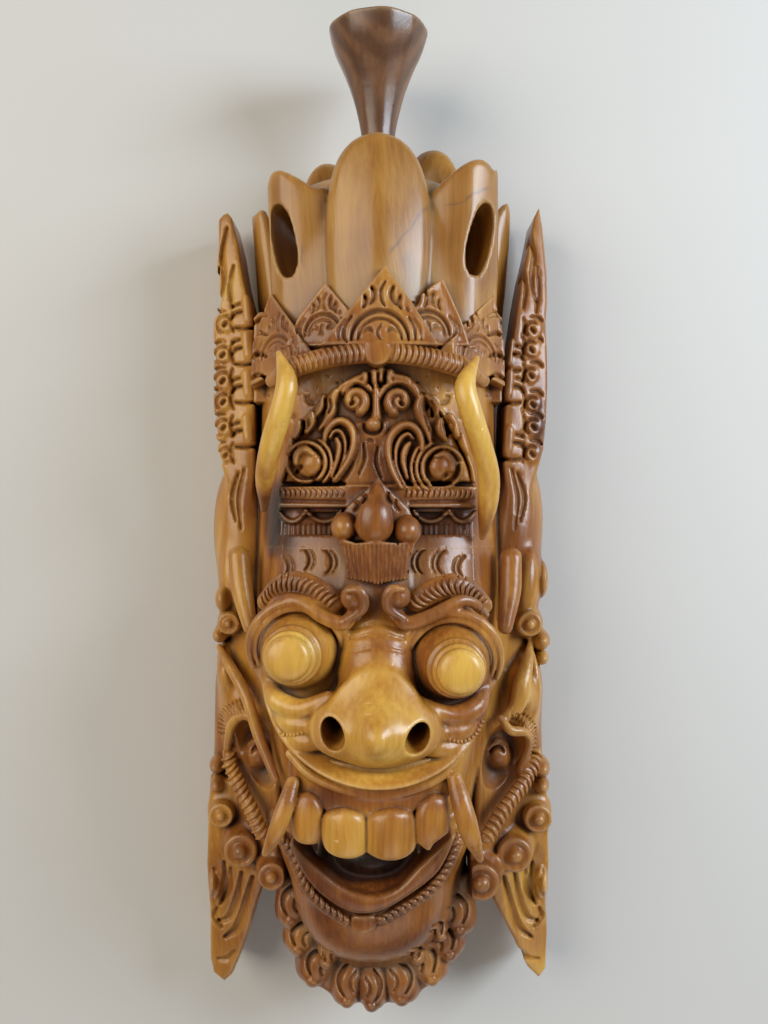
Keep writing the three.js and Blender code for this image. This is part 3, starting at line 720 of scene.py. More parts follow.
LEAF_CUTS = [  # points, radii and depth, for a leaf 50 wide whose arch stands on (0, 0)
    (arc_points((0, 0), 12.6, 2, 178, 15, 1.06), [0.7, 1.0, 1.2, 1.3, 1.4, 1.5, 1.5, 1.5, 1.5, 1.5, 1.4, 1.3,
                                                  1.2, 1.0, 0.7], 2.4),
    (arc_points((0, 0), 9.7, 4, 176, 13, 1.02), [0.6, *[0.95] * 11, 0.6], 1.8),
    (arc_points((-5.2, 3.4), 2.0, 20, 165, 6), [0.5, 1.0, 1.2, 1.2, 1.0, 0.5], 1.6),
    (arc_points((5.2, 3.4), 2.0, 15, 160, 6), [0.5, 1.0, 1.2, 1.2, 1.0, 0.5], 1.6),
    ([(0.6, 7.2), (-1.1, 4.4), (-0.8, 2.2), (0.4, 0.6)], [0.5, 0.9, 0.9, 0.5], 1.4),
    ([(-12.3, 11.2), (-15.6, 6.4), (-15.9, 2), (-14.2, -0.6)], [0.5, 1.0, 1.0, 0.5], 1.7),
    ([(-15.2, 9.6), (-18.2, 5), (-18, 0.6)], [0.5, 0.9, 0.5], 1.3),
    ([(12.6, 10.6), (15.2, 6), (15.6, 0.5)], [0.5, 1.0, 0.5], 1.7),
    ([(14.8, 9.8), (17.6, 5.2), (18.2, 0.5)], [0.5, 0.9, 0.5], 1.3),
    ([(2.4, 26.5), (0.4, 22.6), (0.7, 18.4), (2.2, 15.4)], [0.6, 1.1, 1.1, 0.6], 1.9),
    ([(-3.6, 23.8), (-2.3, 21.6), (-2.9, 18.4), (-4.6, 16.4)], [0.9, 1.6, 1.4, 0.6], 2.2),
    ([(-6.6, 20.0), (-6.0, 18.0), (-7.2, 15.0)], [1.0, 1.5, 0.8], 2.2),
    ([(5.9, 24.0), (4.9, 21.2), (5.6, 18.2), (7.2, 16.2)], [0.9, 1.6, 1.4, 0.6], 2.2),
    ([(9.0, 20.0), (8.2, 17.2), (9.4, 14.2)], [0.9, 1.6, 0.6], 2.2),
    ([(11.6, 14.6), (12.4, 13.4)], [0.8, 0.8], 1.4),
]
LEAVES = [  # feet and peak, the arch's foot, stretch over x and y, bottom, height, where it leans from
    {"shape": [(-60.5, 64), (-59.5, 84), (-50, 107), (-29, 76)], "foot": (-46.5, 75), "stretch": (0.62, 0.80),
     "floor": 22, "top": (86, 36, 0.95)},
    {"shape": [(60.5, 64), (60.5, 86), (55, 107.5), (27, 76)], "foot": (47, 75), "stretch": (-0.66, 0.82),
     "floor": 22, "top": (87, 34, 0.95)},
    {"shape": [(-42, 80), (-36, 93), (-23.5, 108), (-7, 88), (-7, 78)], "foot": (-24.5, 84),
     "stretch": (0.66, 0.72), "floor": 62, "top": (89.5, 14, 0.3)},
    {"shape": [(42, 80), (38, 92), (29.5, 110.5), (10, 94), (7, 78)], "foot": (22.5, 84),
     "stretch": (-0.80, 0.80), "floor": 62, "top": (90.5, 14, 0.3)},
    {"shape": [(-25, 77.5), (-10.5, 95.5), (3.6, 113), (15.5, 96), (27, 77.5)], "foot": (1.2, 79.2),
     "stretch": (1.0, 1.0), "floor": 62, "top": (98.5, 0, 0.05)},
]
for leaf in LEAVES:
    height, start, lean = leaf["top"]

    def leaf_top(x, y, height=height, start=start, lean=lean):
        return height - lean * np.clip(np.abs(x) - start, 0, 60) - 0.07 * (y - 78)

    tiara.add(slab(leaf["shape"], leaf["floor"], leaf_top, 0.7), 0.3)
    work = Relief(tiara)
    middle = np.mean(leaf["shape"], axis=0)
    work.sink([middle + (np.array(p) - middle) * 0.88 for p in leaf["shape"]], 0.5, 0.5)
    (cx, cy), (wide, tall) = leaf["foot"], leaf["stretch"]
    for points, radii, depth in LEAF_CUTS:
        slim = max(abs(wide), 0.7)
        work.groove([(cx + x * wide, cy + y * tall) for x, y in points], [r * slim for r in radii],
                    depth * slim, steps=3)
    work.carve(lowest=leaf["floor"] * 0.5 + 44)

for side in (-1, 1):  # the blocks at the temples, with leaf cuts on their faces
    tiara.add(slab([(side * 60.5, 58), (side * 60.5, 99), (side * 58, 102), (side * 50, 102),
                    (side * 50, 58)],
                   20, 52, 1.0), 0.6)
temple = Relief(tiara)
for side in (-1, 1):
    for y in (66, 76, 86, 95):
        temple.groove([(side * 51.5, y + 1), (side * 56, y + 3.2), (side * 60.5, y + 1.4)], [0.5, 1.5, 0.6],
                      2.4)
    # engraved crescents under the band, like scales
    for x, y in ((13, 66), (22, 64.5), (31, 62.5), (40, 59.5), (17, 61.5), (27, 59.5), (36, 56.5)):
        temple.groove(arc_points((side * x, y), 2.2, *((110, 250) if side < 0 else (-70, 70)), 7),
                      [0.4, 0.7, 0.9, 1.0, 0.9, 0.7, 0.4], 1.2, steps=2)
temple.carve(lowest=46)
finish_block("tiara", tiara)

# %% [markdown]
# ## The crown and its finial
# The crown is a cup of seven smooth petals round a hollow, with a slot through each front corner.
# The petals at the corners have tops cut on a slant, so each is a slab with its own outline and a
# domed face. The finial flares like a trumpet, and its radius is a smooth function of its height.

# %% Carve the crown
crown = Block((-70, 76, 0), (70, 194, 100), grain=1.05)
CROWN_AXIS = 42
crown.add(lump((0, 104, CROWN_AXIS), (50, 64, 38), power=3.2), 0)
BACK_PETALS = [((-24, 138, 15), (19, 50, 10), (0, 28, 2), 2.3),
               ((26, 141, 15), (21, 54, 10), (0, -28, -2), 2.3)]
for centre, radii, turn, power in BACK_PETALS:
    crown.add(lump(centre, radii, turn, power), 0.9)
SIDE_PETALS = [  # the outline from the front, the crest's line and its height, how steeply it falls
    ([(-65.5, 157), (-55, 153), (-44, 80), (-59, 80)], (-60, -51), 36, 0.10),
    ([(57, 156), (68.5, 158.5), (61, 80), (46, 80)], (63, 53), 36, 0.10),
    ([(-51.8, 157), (-50, 162), (-46, 163), (-40, 160.5), (-30, 154.5), (-21, 148), (-14, 80), (-46, 80)],
     (-36, -27), 77, 0.018),
    ([(22, 150), (32, 159), (41, 165.5), (48.5, 168), (54, 165), (57, 157), (53, 80), (15, 80)],
     (39, 30), 77, 0.018),
]
for outline, (top_x, low_x), high, fall in SIDE_PETALS:

    def petal_top(x, y, top_x=top_x, low_x=low_x, high=high, fall=fall):
        middle = low_x + (top_x - low_x) * (y - 80) / 82
        return high - fall * (x - middle) ** 2 + 0.02 * (y - 120) - 0.3 * np.clip(np.abs(x) - 44, 0, 20)

    crown.add(slab(smooth_path(outline + outline[:1], 4)[:-1], 12 if high > 50 else 6, petal_top, 4.0), 1.2)
FRONT_PETAL = smooth_path([(0, 176.8), (-11, 174), (-18.8, 165), (-23, 149), (-23.6, 125), (-22, 100),
                           (-19, 78), (19, 78), (22, 100), (24.2, 125), (23.6, 149), (19.2, 165), (11, 174),
                           (0, 176.8)], 4)[:-1]
crown.add(slab(FRONT_PETAL, 40, lambda x, y: 91 - 0.0145 * x * x - 1.4 * (1 - np.exp(-(x / 7) ** 2))
               - 0.0016 * (y - 120) ** 2, 5.0), 1.2)
crown.cut(lump((0, 188, CROWN_AXIS + 1), (40, 66, 24), power=2.8), 1.5)
for centre, turn in (((-40.5, 130.5, 62), (0, -16, 11)), ((44.6, 131.5, 62), (0, 16, -14))):
    crown.cut(lump(centre, (6.6, 18.2, 30), turn, 2.3), 1.2)
crown.cut(slab([(-80, 60), (80, 60), (80, 88), (-80, 88)], 0, 40, 0.5), 0)
print("crown petals, hollow and slots carved")

FINIAL_SHAPE = smooth_path([(112, 7.5), (150, 7.5), (176, 7.6), (192.4, 8.6), (208.7, 12.4), (220.6, 16.8),
                            (231, 21.6), (240, 24.4)], 8)
finial = Block((-28, 118, 15), (28, 242, 76), grain=0.6)


def finial_rule(x, y, z):
    """A trumpet about a line that rises a little, with the faint flats of the knife along it."""
    axis = CROWN_AXIS + 0.085 * np.clip(y - 176, 0, 70)
    angle = np.arctan2(z - axis, x)
    radius = np.interp(y, FINIAL_SHAPE[:, 0], FINIAL_SHAPE[:, 1])
    flats = 0.010 * radius * np.cos(9 * angle) + 0.008 * radius * np.sin(5 * angle + 1)
    return soft_max((np.hypot(x, z - axis) - radius - flats) * 0.9, y - 240, 1.0)


finial.add([((-27, 120, 16), (27, 240, 75), finial_rule)], 0)
finial.cut(lump((0, 243, CROWN_AXIS + 5.5), (19, 5.5, 19)), 1.5)
finish_block("crown", crown)
finish_block("finial", finial)


# %% [markdown]
# ## The jaw and the beard
# Four domed teeth hang under a gum, with a flat tusk beside each end. Behind the lower lip is a real
# pocket, so the mouth is dark because light does not reach it. Round the smooth chin curl twelve
# leaf tips that stand for a beard.

# %% Carve the jaw and the beard
jaw = Block((-54, -240, 26), (54, -96, 116), grain=0.52)
jaw.add(head_body(-228, -96, 26), 0)
jaw.add(lump((-3, -164, 58), (38, 44, 31), power=2.3), 3)
GUM = [(-39, -100), (-39, -116), (-35, -120), (-30, -118.5), (-25, -122.5), (-20, -126), (-14, -123.5),
       (-5, -129), (5, -123), (14, -126), (18, -122), (24, -118), (30, -121), (34, -116), (35, -100),
       (0, -104)]
jaw.add(slab(GUM, 70, lambda x, y: 106.5 - 0.0075 * x * x + 0 * y, 1.5), 1.0)
jaw.add(strand([(-38, -101, 97), (-29, -109, 101), (-15, -114.6, 104), (0, -117.2, 105), (15, -115, 104),
                (28, -109.5, 101), (36, -101, 97)], 7 * [2.0], flat=1.0), 0.5)
jaw.cut(lump((-4, -150, 98), (25, 15, 27), turn=(12, 0, 0), power=2.4), 2)
jaw.add(slab([(-36, -112), (-35, -136), (-22, -136), (-20, -139.5), (14, -140), (16, -138), (29, -134),
              (31, -112)], 84, lambda x, y: 101.5 - 0.006 * x * x + 0 * y, 1.5), 0.5)
jaw.add(lump((-3, -154, 74), (18, 11, 10)), 1.5)
print("gum, pocket and tongue carved")

LIP_INNER = [(-37.5, -141), (-30, -149), (-21.9, -155.6), (-12.4, -161.9), (-0.8, -164.2), (9.4, -160.4),
             (18.1, -151.5), (25.4, -145), (33, -138)]
LIP_OUTER = [(35, -139), (31, -148.5), (25, -157), (10.8, -166.8), (-0.1, -172), (-12.4, -172),
             (-25.5, -164.4), (-33.5, -155), (-39.5, -143)]
jaw.add(slab(smooth_path(LIP_INNER, 3).tolist() + smooth_path(LIP_OUTER, 3).tolist(), 60,
             lambda x, y: 97.5 - 0.0042 * (x + 2) ** 2 + 0.10 * (y + 150), 3.6), 1.2)
TEETH = [  # outline and the middle of the dome
    ([(-30.4, -116.4), (-34, -118.6), (-36.6, -127), (-36.2, -134.5), (-34, -137.8), (-30, -138.8),
      (-25.6, -138), (-24.1, -134), (-24.2, -124), (-26.6, -118)], (-30.4, -128), 108.5),
    ([(-14, -121.6), (-20.6, -124), (-22.6, -129), (-22.2, -137), (-19.6, -141), (-13, -142.8), (-8, -142.2),
      (-5.4, -140), (-5.0, -130), (-7.6, -124)], (-14, -132), 112),
    ([(6, -121.4), (-1.6, -124), (-4.7, -129), (-4.6, -138.6), (-1.6, -142), (5, -143.5), (11.6, -142.6),
      (15.4, -139), (16, -129), (12.8, -123.2)], (5.6, -132), 112),
    ([(24.4, -116.6), (19.6, -119.6), (16.9, -127), (16.8, -135.6), (19.4, -138.6), (22.4, -140.8),
      (24.6, -137.2), (28.4, -134.6), (30.2, -132), (30, -122), (28.2, -118)], (23.6, -128), 109.5),
]
for outline, (tx, ty), high in TEETH:
    wider = [(tx + (x - tx) * 1.15, y) for x, y in outline]
    bow = smooth_path(wider + wider[:1], 3)[:-1]
    jaw.add(slab(bow, 84, lambda x, y, tx=tx, ty=ty, high=high: high - 0.042 * (x - tx) ** 2
                 - 0.014 * (y - ty) ** 2 - 0.0028 * x * x, 2.8), 0.5)
for points, radii in (([(-36.6, -113, 100), (-39.4, -122, 104), (-43.4, -133, 105), (-48.2, -142.5, 102)],
                       [3.0, 3.9, 3.6, 1.6]),
                      ([(33.6, -111, 101), (36.4, -121, 105), (39.9, -133, 106), (44.4, -145, 102)],
                       [3.4, 4.4, 4.2, 1.6])):
    jaw.add(strand(points, radii, flat=0.8), 0.7)

ROPE = {"left": [(-43.8, -143, 80), (-38, -150, 84), (-33.4, -160.3, 86.5), (-26, -169.2, 88),
                 (-15, -177, 88)],
        "right": [(1.6, -177.4, 88), (13.3, -170.7, 88), (22.9, -164.8, 87), (30.3, -156.6, 85.5),
                  (34.4, -149, 83), (36.6, -143, 80)]}
for points in ROPE.values():  # the jaw's body under the rope, then the rope's bed
    jaw.add(strand([(x * 0.97, y + 2, z - 9) for x, y, z in points], len(points) * [7.0]), 3)
    jaw.add(strand([(x, y + 1, z - 22) for x, y, z in points], len(points) * [10.0]), 4)
for points in ROPE.values():
    jaw.add(strand(points, [2.2, *[2.8] * (len(points) - 2), 2.8]), 1.2)
jaw.add(slab([(-12.8, -177), (-10, -174.6), (-2, -174.6), (0.9, -177), (-1.4, -181), (-5.6, -182.4),
              (-10.6, -181)],
             70, lambda x, y: 92 - 0.05 * (x + 6) ** 2 + 0 * y, 1.0), 0.4)
print("teeth, tusks, lower lip and the rope's bed carved")

BEARD = [  # middle, half length and width, the way the tip points, height of the top
    (-41.6, -184.5, 13, 8.2, -100, 61), (-37.4, -200.5, 10.5, 8.4, -112, 60),
    (-29.5, -215, 12.5, 9.6, -118, 59),
    (-14.8, -223, 13.4, 7.8, -97, 61), (-2.4, -224.6, 12.4, 7.2, -88, 63), (11.4, -222, 13.6, 9.4, -80, 61),
    (23.6, -212.5, 14.5, 9.6, -64, 60), (32.6, -202.5, 12, 8.8, -60, 60), (38.4, -188.5, 14, 8.8, -74, 61),
    (-23, -205, 9.5, 5.5, -112, 66), (17.5, -203, 9.5, 5.5, -70, 66), (28, -192, 9, 5.0, -62, 67),
]
BED = [(-46, -170), (-48, -186), (-43, -203), (-35, -219), (-20, -232), (-2, -234.5), (16, -232), (31, -219),
       (40, -204), (45, -190), (44, -170)]
jaw.add(slab(smooth_path(BED, 2), 26, lambda x, y: 54.5 + 0.06 * (y + 232) + 0 * x, 4.0), 2.0)
for x, y, half_length, half_width, way, high in BEARD:
    jaw.add(lump((x, y, high - 19), (half_length, half_width * 1.08, 19), turn=(0, 0, way), power=2.6), 1.4)
curls = Relief(jaw)
for number, (x, y, half_length, half_width, way, high) in enumerate(BEARD):
    ahead = np.array([math.cos(math.radians(way)), math.sin(math.radians(way))])
    across = np.array([-ahead[1], ahead[0]]) * (1 if x > -4 else -1)
    centre = np.array([x, y])
    for offset, start, end, bow, radius in ((0.10, -0.75, 0.30, 0.44, 1.3), (-0.46, -0.55, 0.15, 0.30, 0.9)):
        line = [centre + ahead * half_length * t
                + across * half_width * (offset + bow * (1 - ((2 * t - start - end) / (end - start)) ** 2))
                for t in np.linspace(start, end, 7)]
        curls.groove(line, [0.5, radius * 0.8, radius, radius, radius, radius * 0.8, 0.5], radius * 1.7,
                     steps=2)
    tip = centre + ahead * half_length * 0.62 - across * half_width * 0.15
    curls.ridge([tip, tip + ahead * 1.0], [3.4, 2.8], 1.6)
curls.carve(lowest=40)
finish_block("jaw", jaw)


# %% [markdown]
# ## The sides
# On each side, from the top: a tall wing with a pierced look, a smooth swelling shell, a rosette, an
# ear with a deep bowl, a band of ridges, more rosettes, and a leafy lappet that hangs down. The two
# sides mirror each other only roughly, and each has its own numbers.

# %% Shapes for the sides
SIDE_LIMIT = 85.7


def rosette(block, centre, radius, height, ball):
    """A turned disc with two sunk rings and a ball in its middle."""
    block.add(lump((centre[0], centre[1], height - 15), (radius * 1.35, radius * 1.35, 11)), 2.5)
    block.add(drum(centre, radius, height - 16, height, 1.4, 1.2), 0.4)
    block.cut(ring((centre[0], centre[1]), radius * 0.60, height + 0.1, (1.5, 1.5)), 0.2)
    block.cut(ring((centre[0], centre[1]), radius * 1.10, height - 2.6, (1.2, 1.2)), 0.4)
    block.add(lump((centre[0], centre[1], height - 0.8), (ball * 0.9, ball * 0.9, ball * 0.9)), 0.2)


# %% Carve both sides
left = Block((-86.4, -236, 0), (-44, 160, 78), grain=0.6)
right = Block((44, -236, 0), (86.4, 162, 78), grain=0.6)
SIDES = {"left": (left, -1), "right": (right, 1)}  # the block, and which way X grows outwards
for block, _ in SIDES.values():
    block.add(head_body(-222, 102, 0), 0)
WINGS = {
    "left": [(-78.3, 155.5), (-81, 152.5), (-80.7, 139), (-81.6, 121), (-80.4, 109), (-82.6, 98), (-82.4, 85),
             (-82.6, 60), (-81.5, 44), (-79.5, 32), (-76, 20), (-71, 6), (-63, 6), (-61, 24), (-61, 91),
             (-63.5, 106), (-67.3, 121), (-70.4, 139.6), (-73.8, 153), (-76, 156)],
    "right": [(81.9, 159.5), (83.6, 149), (85.4, 124), (85.2, 109), (84.2, 98), (85.2, 84), (85.4, 69),
              (84.6, 52), (83, 36), (79, 22), (72, 6), (64, 6), (62, 27.6), (62.8, 54), (64.6, 74),
              (69.2, 105.5), (72.5, 124), (76.2, 139.6), (79, 154)],
}
SHELLS = {
    "left": [((-67, -8, 22), (18, 42, 25), (0, 0, 3)), ((-72, -30, 30), (9, 26, 20), (0, 0, 6))],
    "right": [((67, -6, 22), (18, 44, 25), (0, 0, -4)), ((73, -32, 30), (10, 26, 22), (0, 0, -6))],
}
EARS = {
    "left": [((-64, -96, 30), (16, 37, 25), (0, 0, 10)), ((-74, -76, 34), (6.5, 17, 20), (0, 0, 8))],
    "right": [((65, -96, 32), (17, 38, 26), (0, 0, -10)), ((70, -82, 42), (9, 15, 19), (0, 0, 10))],
}
BOWLS = {"left": ((-59.5, -110, 63), (11, 19.5, 18), (0, 0, 18)),
         "right": ((61.5, -112, 65), (11, 19.5, 19), (0, 0, -18))}
WALL = [(46, -46), (66, -50), (78, -62), (82.5, -80), (83.5, -110), (83.5, -146), (70, -168), (46, -176)]
LAPPETS = {
    "left": [(-83, -126), (-85.4, -172), (-84.4, -197), (-85, -221), (-83.5, -229), (-78, -233.4),
             (-73.5, -229), (-66.7, -212.5), (-59.4, -188), (-52, -168), (-54, -130)],
    "right": [(83.4, -126), (85.4, -172), (84.2, -190), (85.4, -206), (85.2, -227), (81.6, -231.8),
              (75.6, -225.6), (66.2, -206), (57.6, -189), (51, -170), (54, -130)],
}


def wall_top(x, y):
    return 63 - 0.78 * np.clip(np.abs(x) - 49, 0, 40) - 0.10 * np.clip(-150 - y, 0, 30)


def wing_top(x, y):
    return 45 - 0.30 * np.clip(np.abs(x) - 66, 0, 30) - 0.11 * np.clip(y - 100, 0, 80)


def lappet_top(x, y):
    return 41 - 0.16 * np.clip(np.abs(x) - 64, 0, 30) + 0.14 * np.clip(y + 205, -40, 55)


for name, (block, sign) in SIDES.items():
    block.add(slab([(sign * x, y) for x, y in WALL], 5, wall_top, 5.0), 1)
    block.add(slab(WINGS[name], 8, wing_top, 2.4), 1.0)
    for centre, radii, turn in SHELLS[name] + EARS[name]:
        block.add(lump(centre, radii, turn), 2.5)
    block.add(slab(LAPPETS[name], 6, lappet_top, 2.6), 2.0)
    block.cut(lump(*BOWLS[name]), 1.2)
    print(name, "wing, shell, ear and lappet carved")

# the ears' edges: on the left a thin blade runs down the front, on the right a smooth cone
left.add(strand([(-78, -62, 47), (-71.5, -70, 55), (-62.3, -82.5, 64), (-56, -100, 68), (-47, -119, 74)],
                [1.6, 2.6, 2.8, 2.6, 2.0]), 0.8)
left.add(strand([(-76, -66, 46), (-66, -78, 56), (-61, -86, 60)], [1.0, 1.5, 0.8]), 0.6)
left.add(strand([(-73.5, -110, 51), (-70.5, -98, 56), (-64, -92.5, 60), (-57.5, -95, 64)],
                [1.8, 2.4, 2.4, 1.6]), 1.0)
right.add(strand([(75.5, -57, 46), (73, -66, 54), (69, -77, 60), (66, -88, 62), (60, -93, 64)],
                 [0.8, 2.6, 4.2, 3.8, 2.2], flat=0.8), 2.5)
right.add(strand([(75, -60, 46), (76.5, -74, 52), (76, -88, 52), (74, -100, 50)], [0.8, 2.2, 2.6, 1.6]), 1.5)
right.add(strand([(58, -93, 65), (63, -98.5, 66), (70.5, -100, 62), (73.2, -108, 56), (69, -121, 54)],
                 [1.6, 2.4, 2.6, 2.6, 2.0]), 1.0)
for block, sign in SIDES.values():  # the small nose-like curl in the bowl
    block.add(lump((sign * 58.5, -113, 48), (6.5, 8.5, 9), turn=(0, 0, sign * 20)), 4)
    block.add(strand([(sign * 62.5, -108.5, 52), (sign * 58, -106.4, 54.5), (sign * 54, -110, 55)],
                     [1.0, 1.7, 1.3]), 1.2)

ROSETTES = {  # middle, radius, height of the face, ball
    "left": [((-72.3, -49.6), 5.6, 56, 2.0), ((-76, -142.8), 6.2, 55, 2.4), ((-65.7, -157.8), 8.2, 61, 3.6),
             ((-49.6, -166.4), 6.8, 70, 3.0)],
    "right": [((73.4, -49.8), 6.3, 57, 2.8), ((77.8, -144.4), 7.0, 55, 3.2), ((65.7, -159.8), 8.6, 61, 3.6),
              ((48.4, -168.4), 8.8, 72, 4.4)],
}
SIDE_LUMPS = {  # smaller leaf lumps along the outer edge
    "left": [((-76, -38, 44), (4.2, 7, 12)), ((-78, -56, 44), (3.6, 4, 10)),
             ((-79.5, -120.6, 40), (4.2, 4.4, 12)),
             ((-79, -129.4, 42), (3.8, 4.2, 11)), ((-81, -180, 32), (4.4, 10.5, 15))],
    "right": [((81.8, -29, 34), (3.6, 10, 14)), ((80.4, -58.6, 42), (4.8, 5.4, 12)),
              ((81, -67.6, 40), (3.8, 4, 11)),
              ((80.4, -121.4, 42), (4.8, 5.2, 12)), ((80.4, -129.6, 43), (4.2, 4.4, 11)),
              ((81, -179, 33), (4.4, 11, 16))],
}
for name, (block, _) in SIDES.items():
    for centre, radii in SIDE_LUMPS[name]:
        block.add(lump(centre, radii), 0.8)
    for centre, radius, height, ball in ROSETTES[name]:
        rosette(block, centre, radius, height, ball)
EAR_BANDS = {
    "left": [(-73, -114, 48), (-71.5, -118.2, 52), (-65.7, -126.6, 60), (-60, -134, 66), (-54.3, -145, 70)],
    "right": [(77.5, -114, 46), (75.6, -118.2, 50), (69.9, -125, 58), (62.9, -131.5, 64), (56.4, -138.4, 68),
              (51, -146.5, 71)],
}
for name, (block, _) in SIDES.items():
    block.add(strand(EAR_BANDS[name], len(EAR_BANDS[name]) * [3.4], flat=0.6), 2.5)
    block.cut([((-90, -240, -2), (90, 240, 80), lambda x, y, z: SIDE_LIMIT - np.abs(x) + 0 * y + 0 * z)], 0)
print("ears' edges, rosettes and bands carved")

# %% Relief on the wings, the lappets and beside the ears
chance = np.random.default_rng(11)
for block, sign in SIDES.values():
    work = Relief(block)
    steps_y = (96, 78, 59, 37) if sign < 0 else (75, 59, 31)
    for y in steps_y:  # the inner edge is cut in blocks, like a row of keys
        work.groove([(sign * 61, y), (sign * 66, y - 0.6), (sign * 71, y)], [1.0, 1.1, 0.7], 2.2)
        work.groove([(sign * 67, y + 8), (sign * 70.5, y + 7.4), (sign * 72.5, y + 5)], [0.8, 1.3, 0.7], 2.4)
        work.groove([(sign * 68.5, y + 12), (sign * 72, y + 11)], [0.8, 1.1], 2.0)
        work.ridge([(sign * 64, y + 4), (sign * 65, y + 14)], [2.4, 2.4], 1.2)
    for y in np.arange(34, 106, 12.5) + chance.uniform(-1.8, 1.8, 6):  # leaf scrolls with drilled eyes
        x, size = 76.6 + chance.uniform(-1.0, 1.0), chance.uniform(3.4, 4.8)
        work.ridge([(sign * x, y - 1), (sign * (x + 1.5), y + 1)], [size, size], 1.2)
        work.groove(arc_points((sign * x, y), size, 60, 60 + chance.uniform(170, 240), 10),
                    [0.5, *[1.1] * 8, 0.5], 1.9)
        work.groove([(sign * (x - 0.6), y + 0.6), (sign * (x + 0.6), y - 0.8)], 1.3, 2.6)
        work.groove([(sign * 71.5, y - 4), (sign * 73.2, y + 1.5), (sign * 72, y + 6)], [0.5, 1.1, 0.5], 1.7)
        work.groove([(sign * 82, y + 5), (sign * 79.5, y + 6.8), (sign * 76, y + 6.6)], [0.9, 1.0, 0.5], 1.9)
    for points, radii, depth in (([(76, 148), (78.5, 134), (77, 121), (79, 110)], [0.8, 1.7, 1.7, 0.8], 2.2),
                                 ([(72, 128), (74, 118), (72.4, 106)], [0.7, 1.5, 0.8], 1.8),
                                 ([(80, 128), (80.5, 116), (79, 104)], [0.7, 1.3, 0.7], 1.8),
                                 ([(69, 24), (72.5, 12), (70, 0)], [0.8, 1.4, 0.6], 1.8),
                                 ([(66, 26), (69, 12), (67.4, -4)], [0.7, 1.2, 0.6], 1.6)):
        work.groove([(sign * x, y) for x, y in points], radii, depth)
    # swirls on the lappet
    for points, radii, depth in (([(62, -176), (66, -190), (70.5, -203), (77, -209)], [0.8, 1.6, 1.7, 0.8],
                                  2.4),
                                 ([(67.5, -174), (70, -187), (74, -197.5), (80, -201)],
                                  [0.8, 1.5, 1.5, 0.8], 2.2),
                                 ([(73, -172), (74, -182), (77.6, -190)], [0.7, 1.4, 0.8], 2.0),
                                 ([(78.4, -203.6), (81.8, -198.6), (80.6, -193.6)], [0.8, 1.4, 0.7], 2.2),
                                 ([(72, -216), (76, -220.5), (81, -221)], [0.8, 1.3, 0.7], 1.6),
                                 ([(81.6, -172.5), (79.8, -179), (81.8, -186.4)], [0.6, 1.1, 0.6], 1.5),
                                 ([(76.4, -169), (76, -180), (78.6, -191.4)], [0.7, 1.2, 0.7], 2.2)):
        work.groove([(sign * x, y) for x, y in points], [1.45 * r for r in radii], depth * 0.95)
    # the fan of short ridges over the bowl
    hub = (sign * 63, -104) if sign < 0 else (62, -108)
    for angle in (np.arange(98, 190, 8) if sign < 0 else np.arange(-22, 88, 8)):
        a = math.radians(angle)
        work.groove([(hub[0] + 12.2 * math.cos(a), hub[1] + 12.8 * math.sin(a)),
                     (hub[0] + 16.4 * math.cos(a + 0.05), hub[1] + 17.4 * math.sin(a + 0.05))], [0.7, 0.9],
                     1.5)
    work.groove(arc_points((sign * 57.6, -112.5), 3.4, 20, 165, 8),
                [0.5, 1.0, 1.1, 1.1, 1.1, 1.0, 0.8, 0.5], 2.2)
    work.carve(lowest=24)
finish_block("side_left", left)
finish_block("side_right", right)

# %% [markdown]
# ## The back of the block
# The back is plain: flat, so that the mask can hang against a wall, and hollowed out in an oval for
# the wearer's face, as such masks are. Nobody sees it from the front, so its grid is coarser.

# %% Carve the core and its hollow
core = Block((-66, -236, 0), (66, 104, 62), grain=1.2)
core.add(head_body(-230, 102, 0, shrink=0.6), 0)
core.cut(lump((0, -38, 0), (44, 118, 47), power=2.4), 2)
finish_block("core", core)


# %% [markdown]
# ## How deep and how light each point is
# The colour is painted with shade and light: darkest where the wood lies deep, lighter where it
# stands proud. So each point of the skin stores the share of wood in a small and in a wide ball round
# it: half on a flat, more in a recess, less on a ridge. It also stores a tone, partly because the
# heartwood and the sapwood of the block differ and partly as painted light, and how much pale polish
# has dried in the cuts there.

# %% Gather all blocks on one coarse grid
WIDE_GRAIN = 1.5
grid_low = LOW - 6
grid_shape = tuple(((HIGH - LOW + 12) / WIDE_GRAIN).astype(int) + 1)
wood = np.full(grid_shape, FAR, np.float32)
for name, block in BLOCKS.items():
    spots, places = [], []
    for axis in range(3):
        line = grid_low[axis] + np.arange(grid_shape[axis]) * WIDE_GRAIN
        inside = np.flatnonzero((line >= block.axes[axis][0]) & (line <= block.axes[axis][-1]))
        spots.append(np.round((line[inside] - block.low[axis]) / block.grain).astype(int))
        places.append(inside)
    part = wood[np.ix_(*places)]
    wood[np.ix_(*places)] = np.minimum(part, block.field[np.ix_(*spots)])
share = np.clip(0.5 - wood / WIDE_GRAIN, 0, 1)
FINE_REACH, MID_REACH, WIDE_REACH = 1.2, 2.6, 8.0  # how far round a point is looked, in millimetres
mid_share = box_blur(share, MID_REACH, WIDE_GRAIN)
wide_share = box_blur(share, WIDE_REACH, WIDE_GRAIN)
print("wood in the whole grid:", round(float(share.sum()) * (WIDE_GRAIN / 10) ** 3), "cubic centimetres")
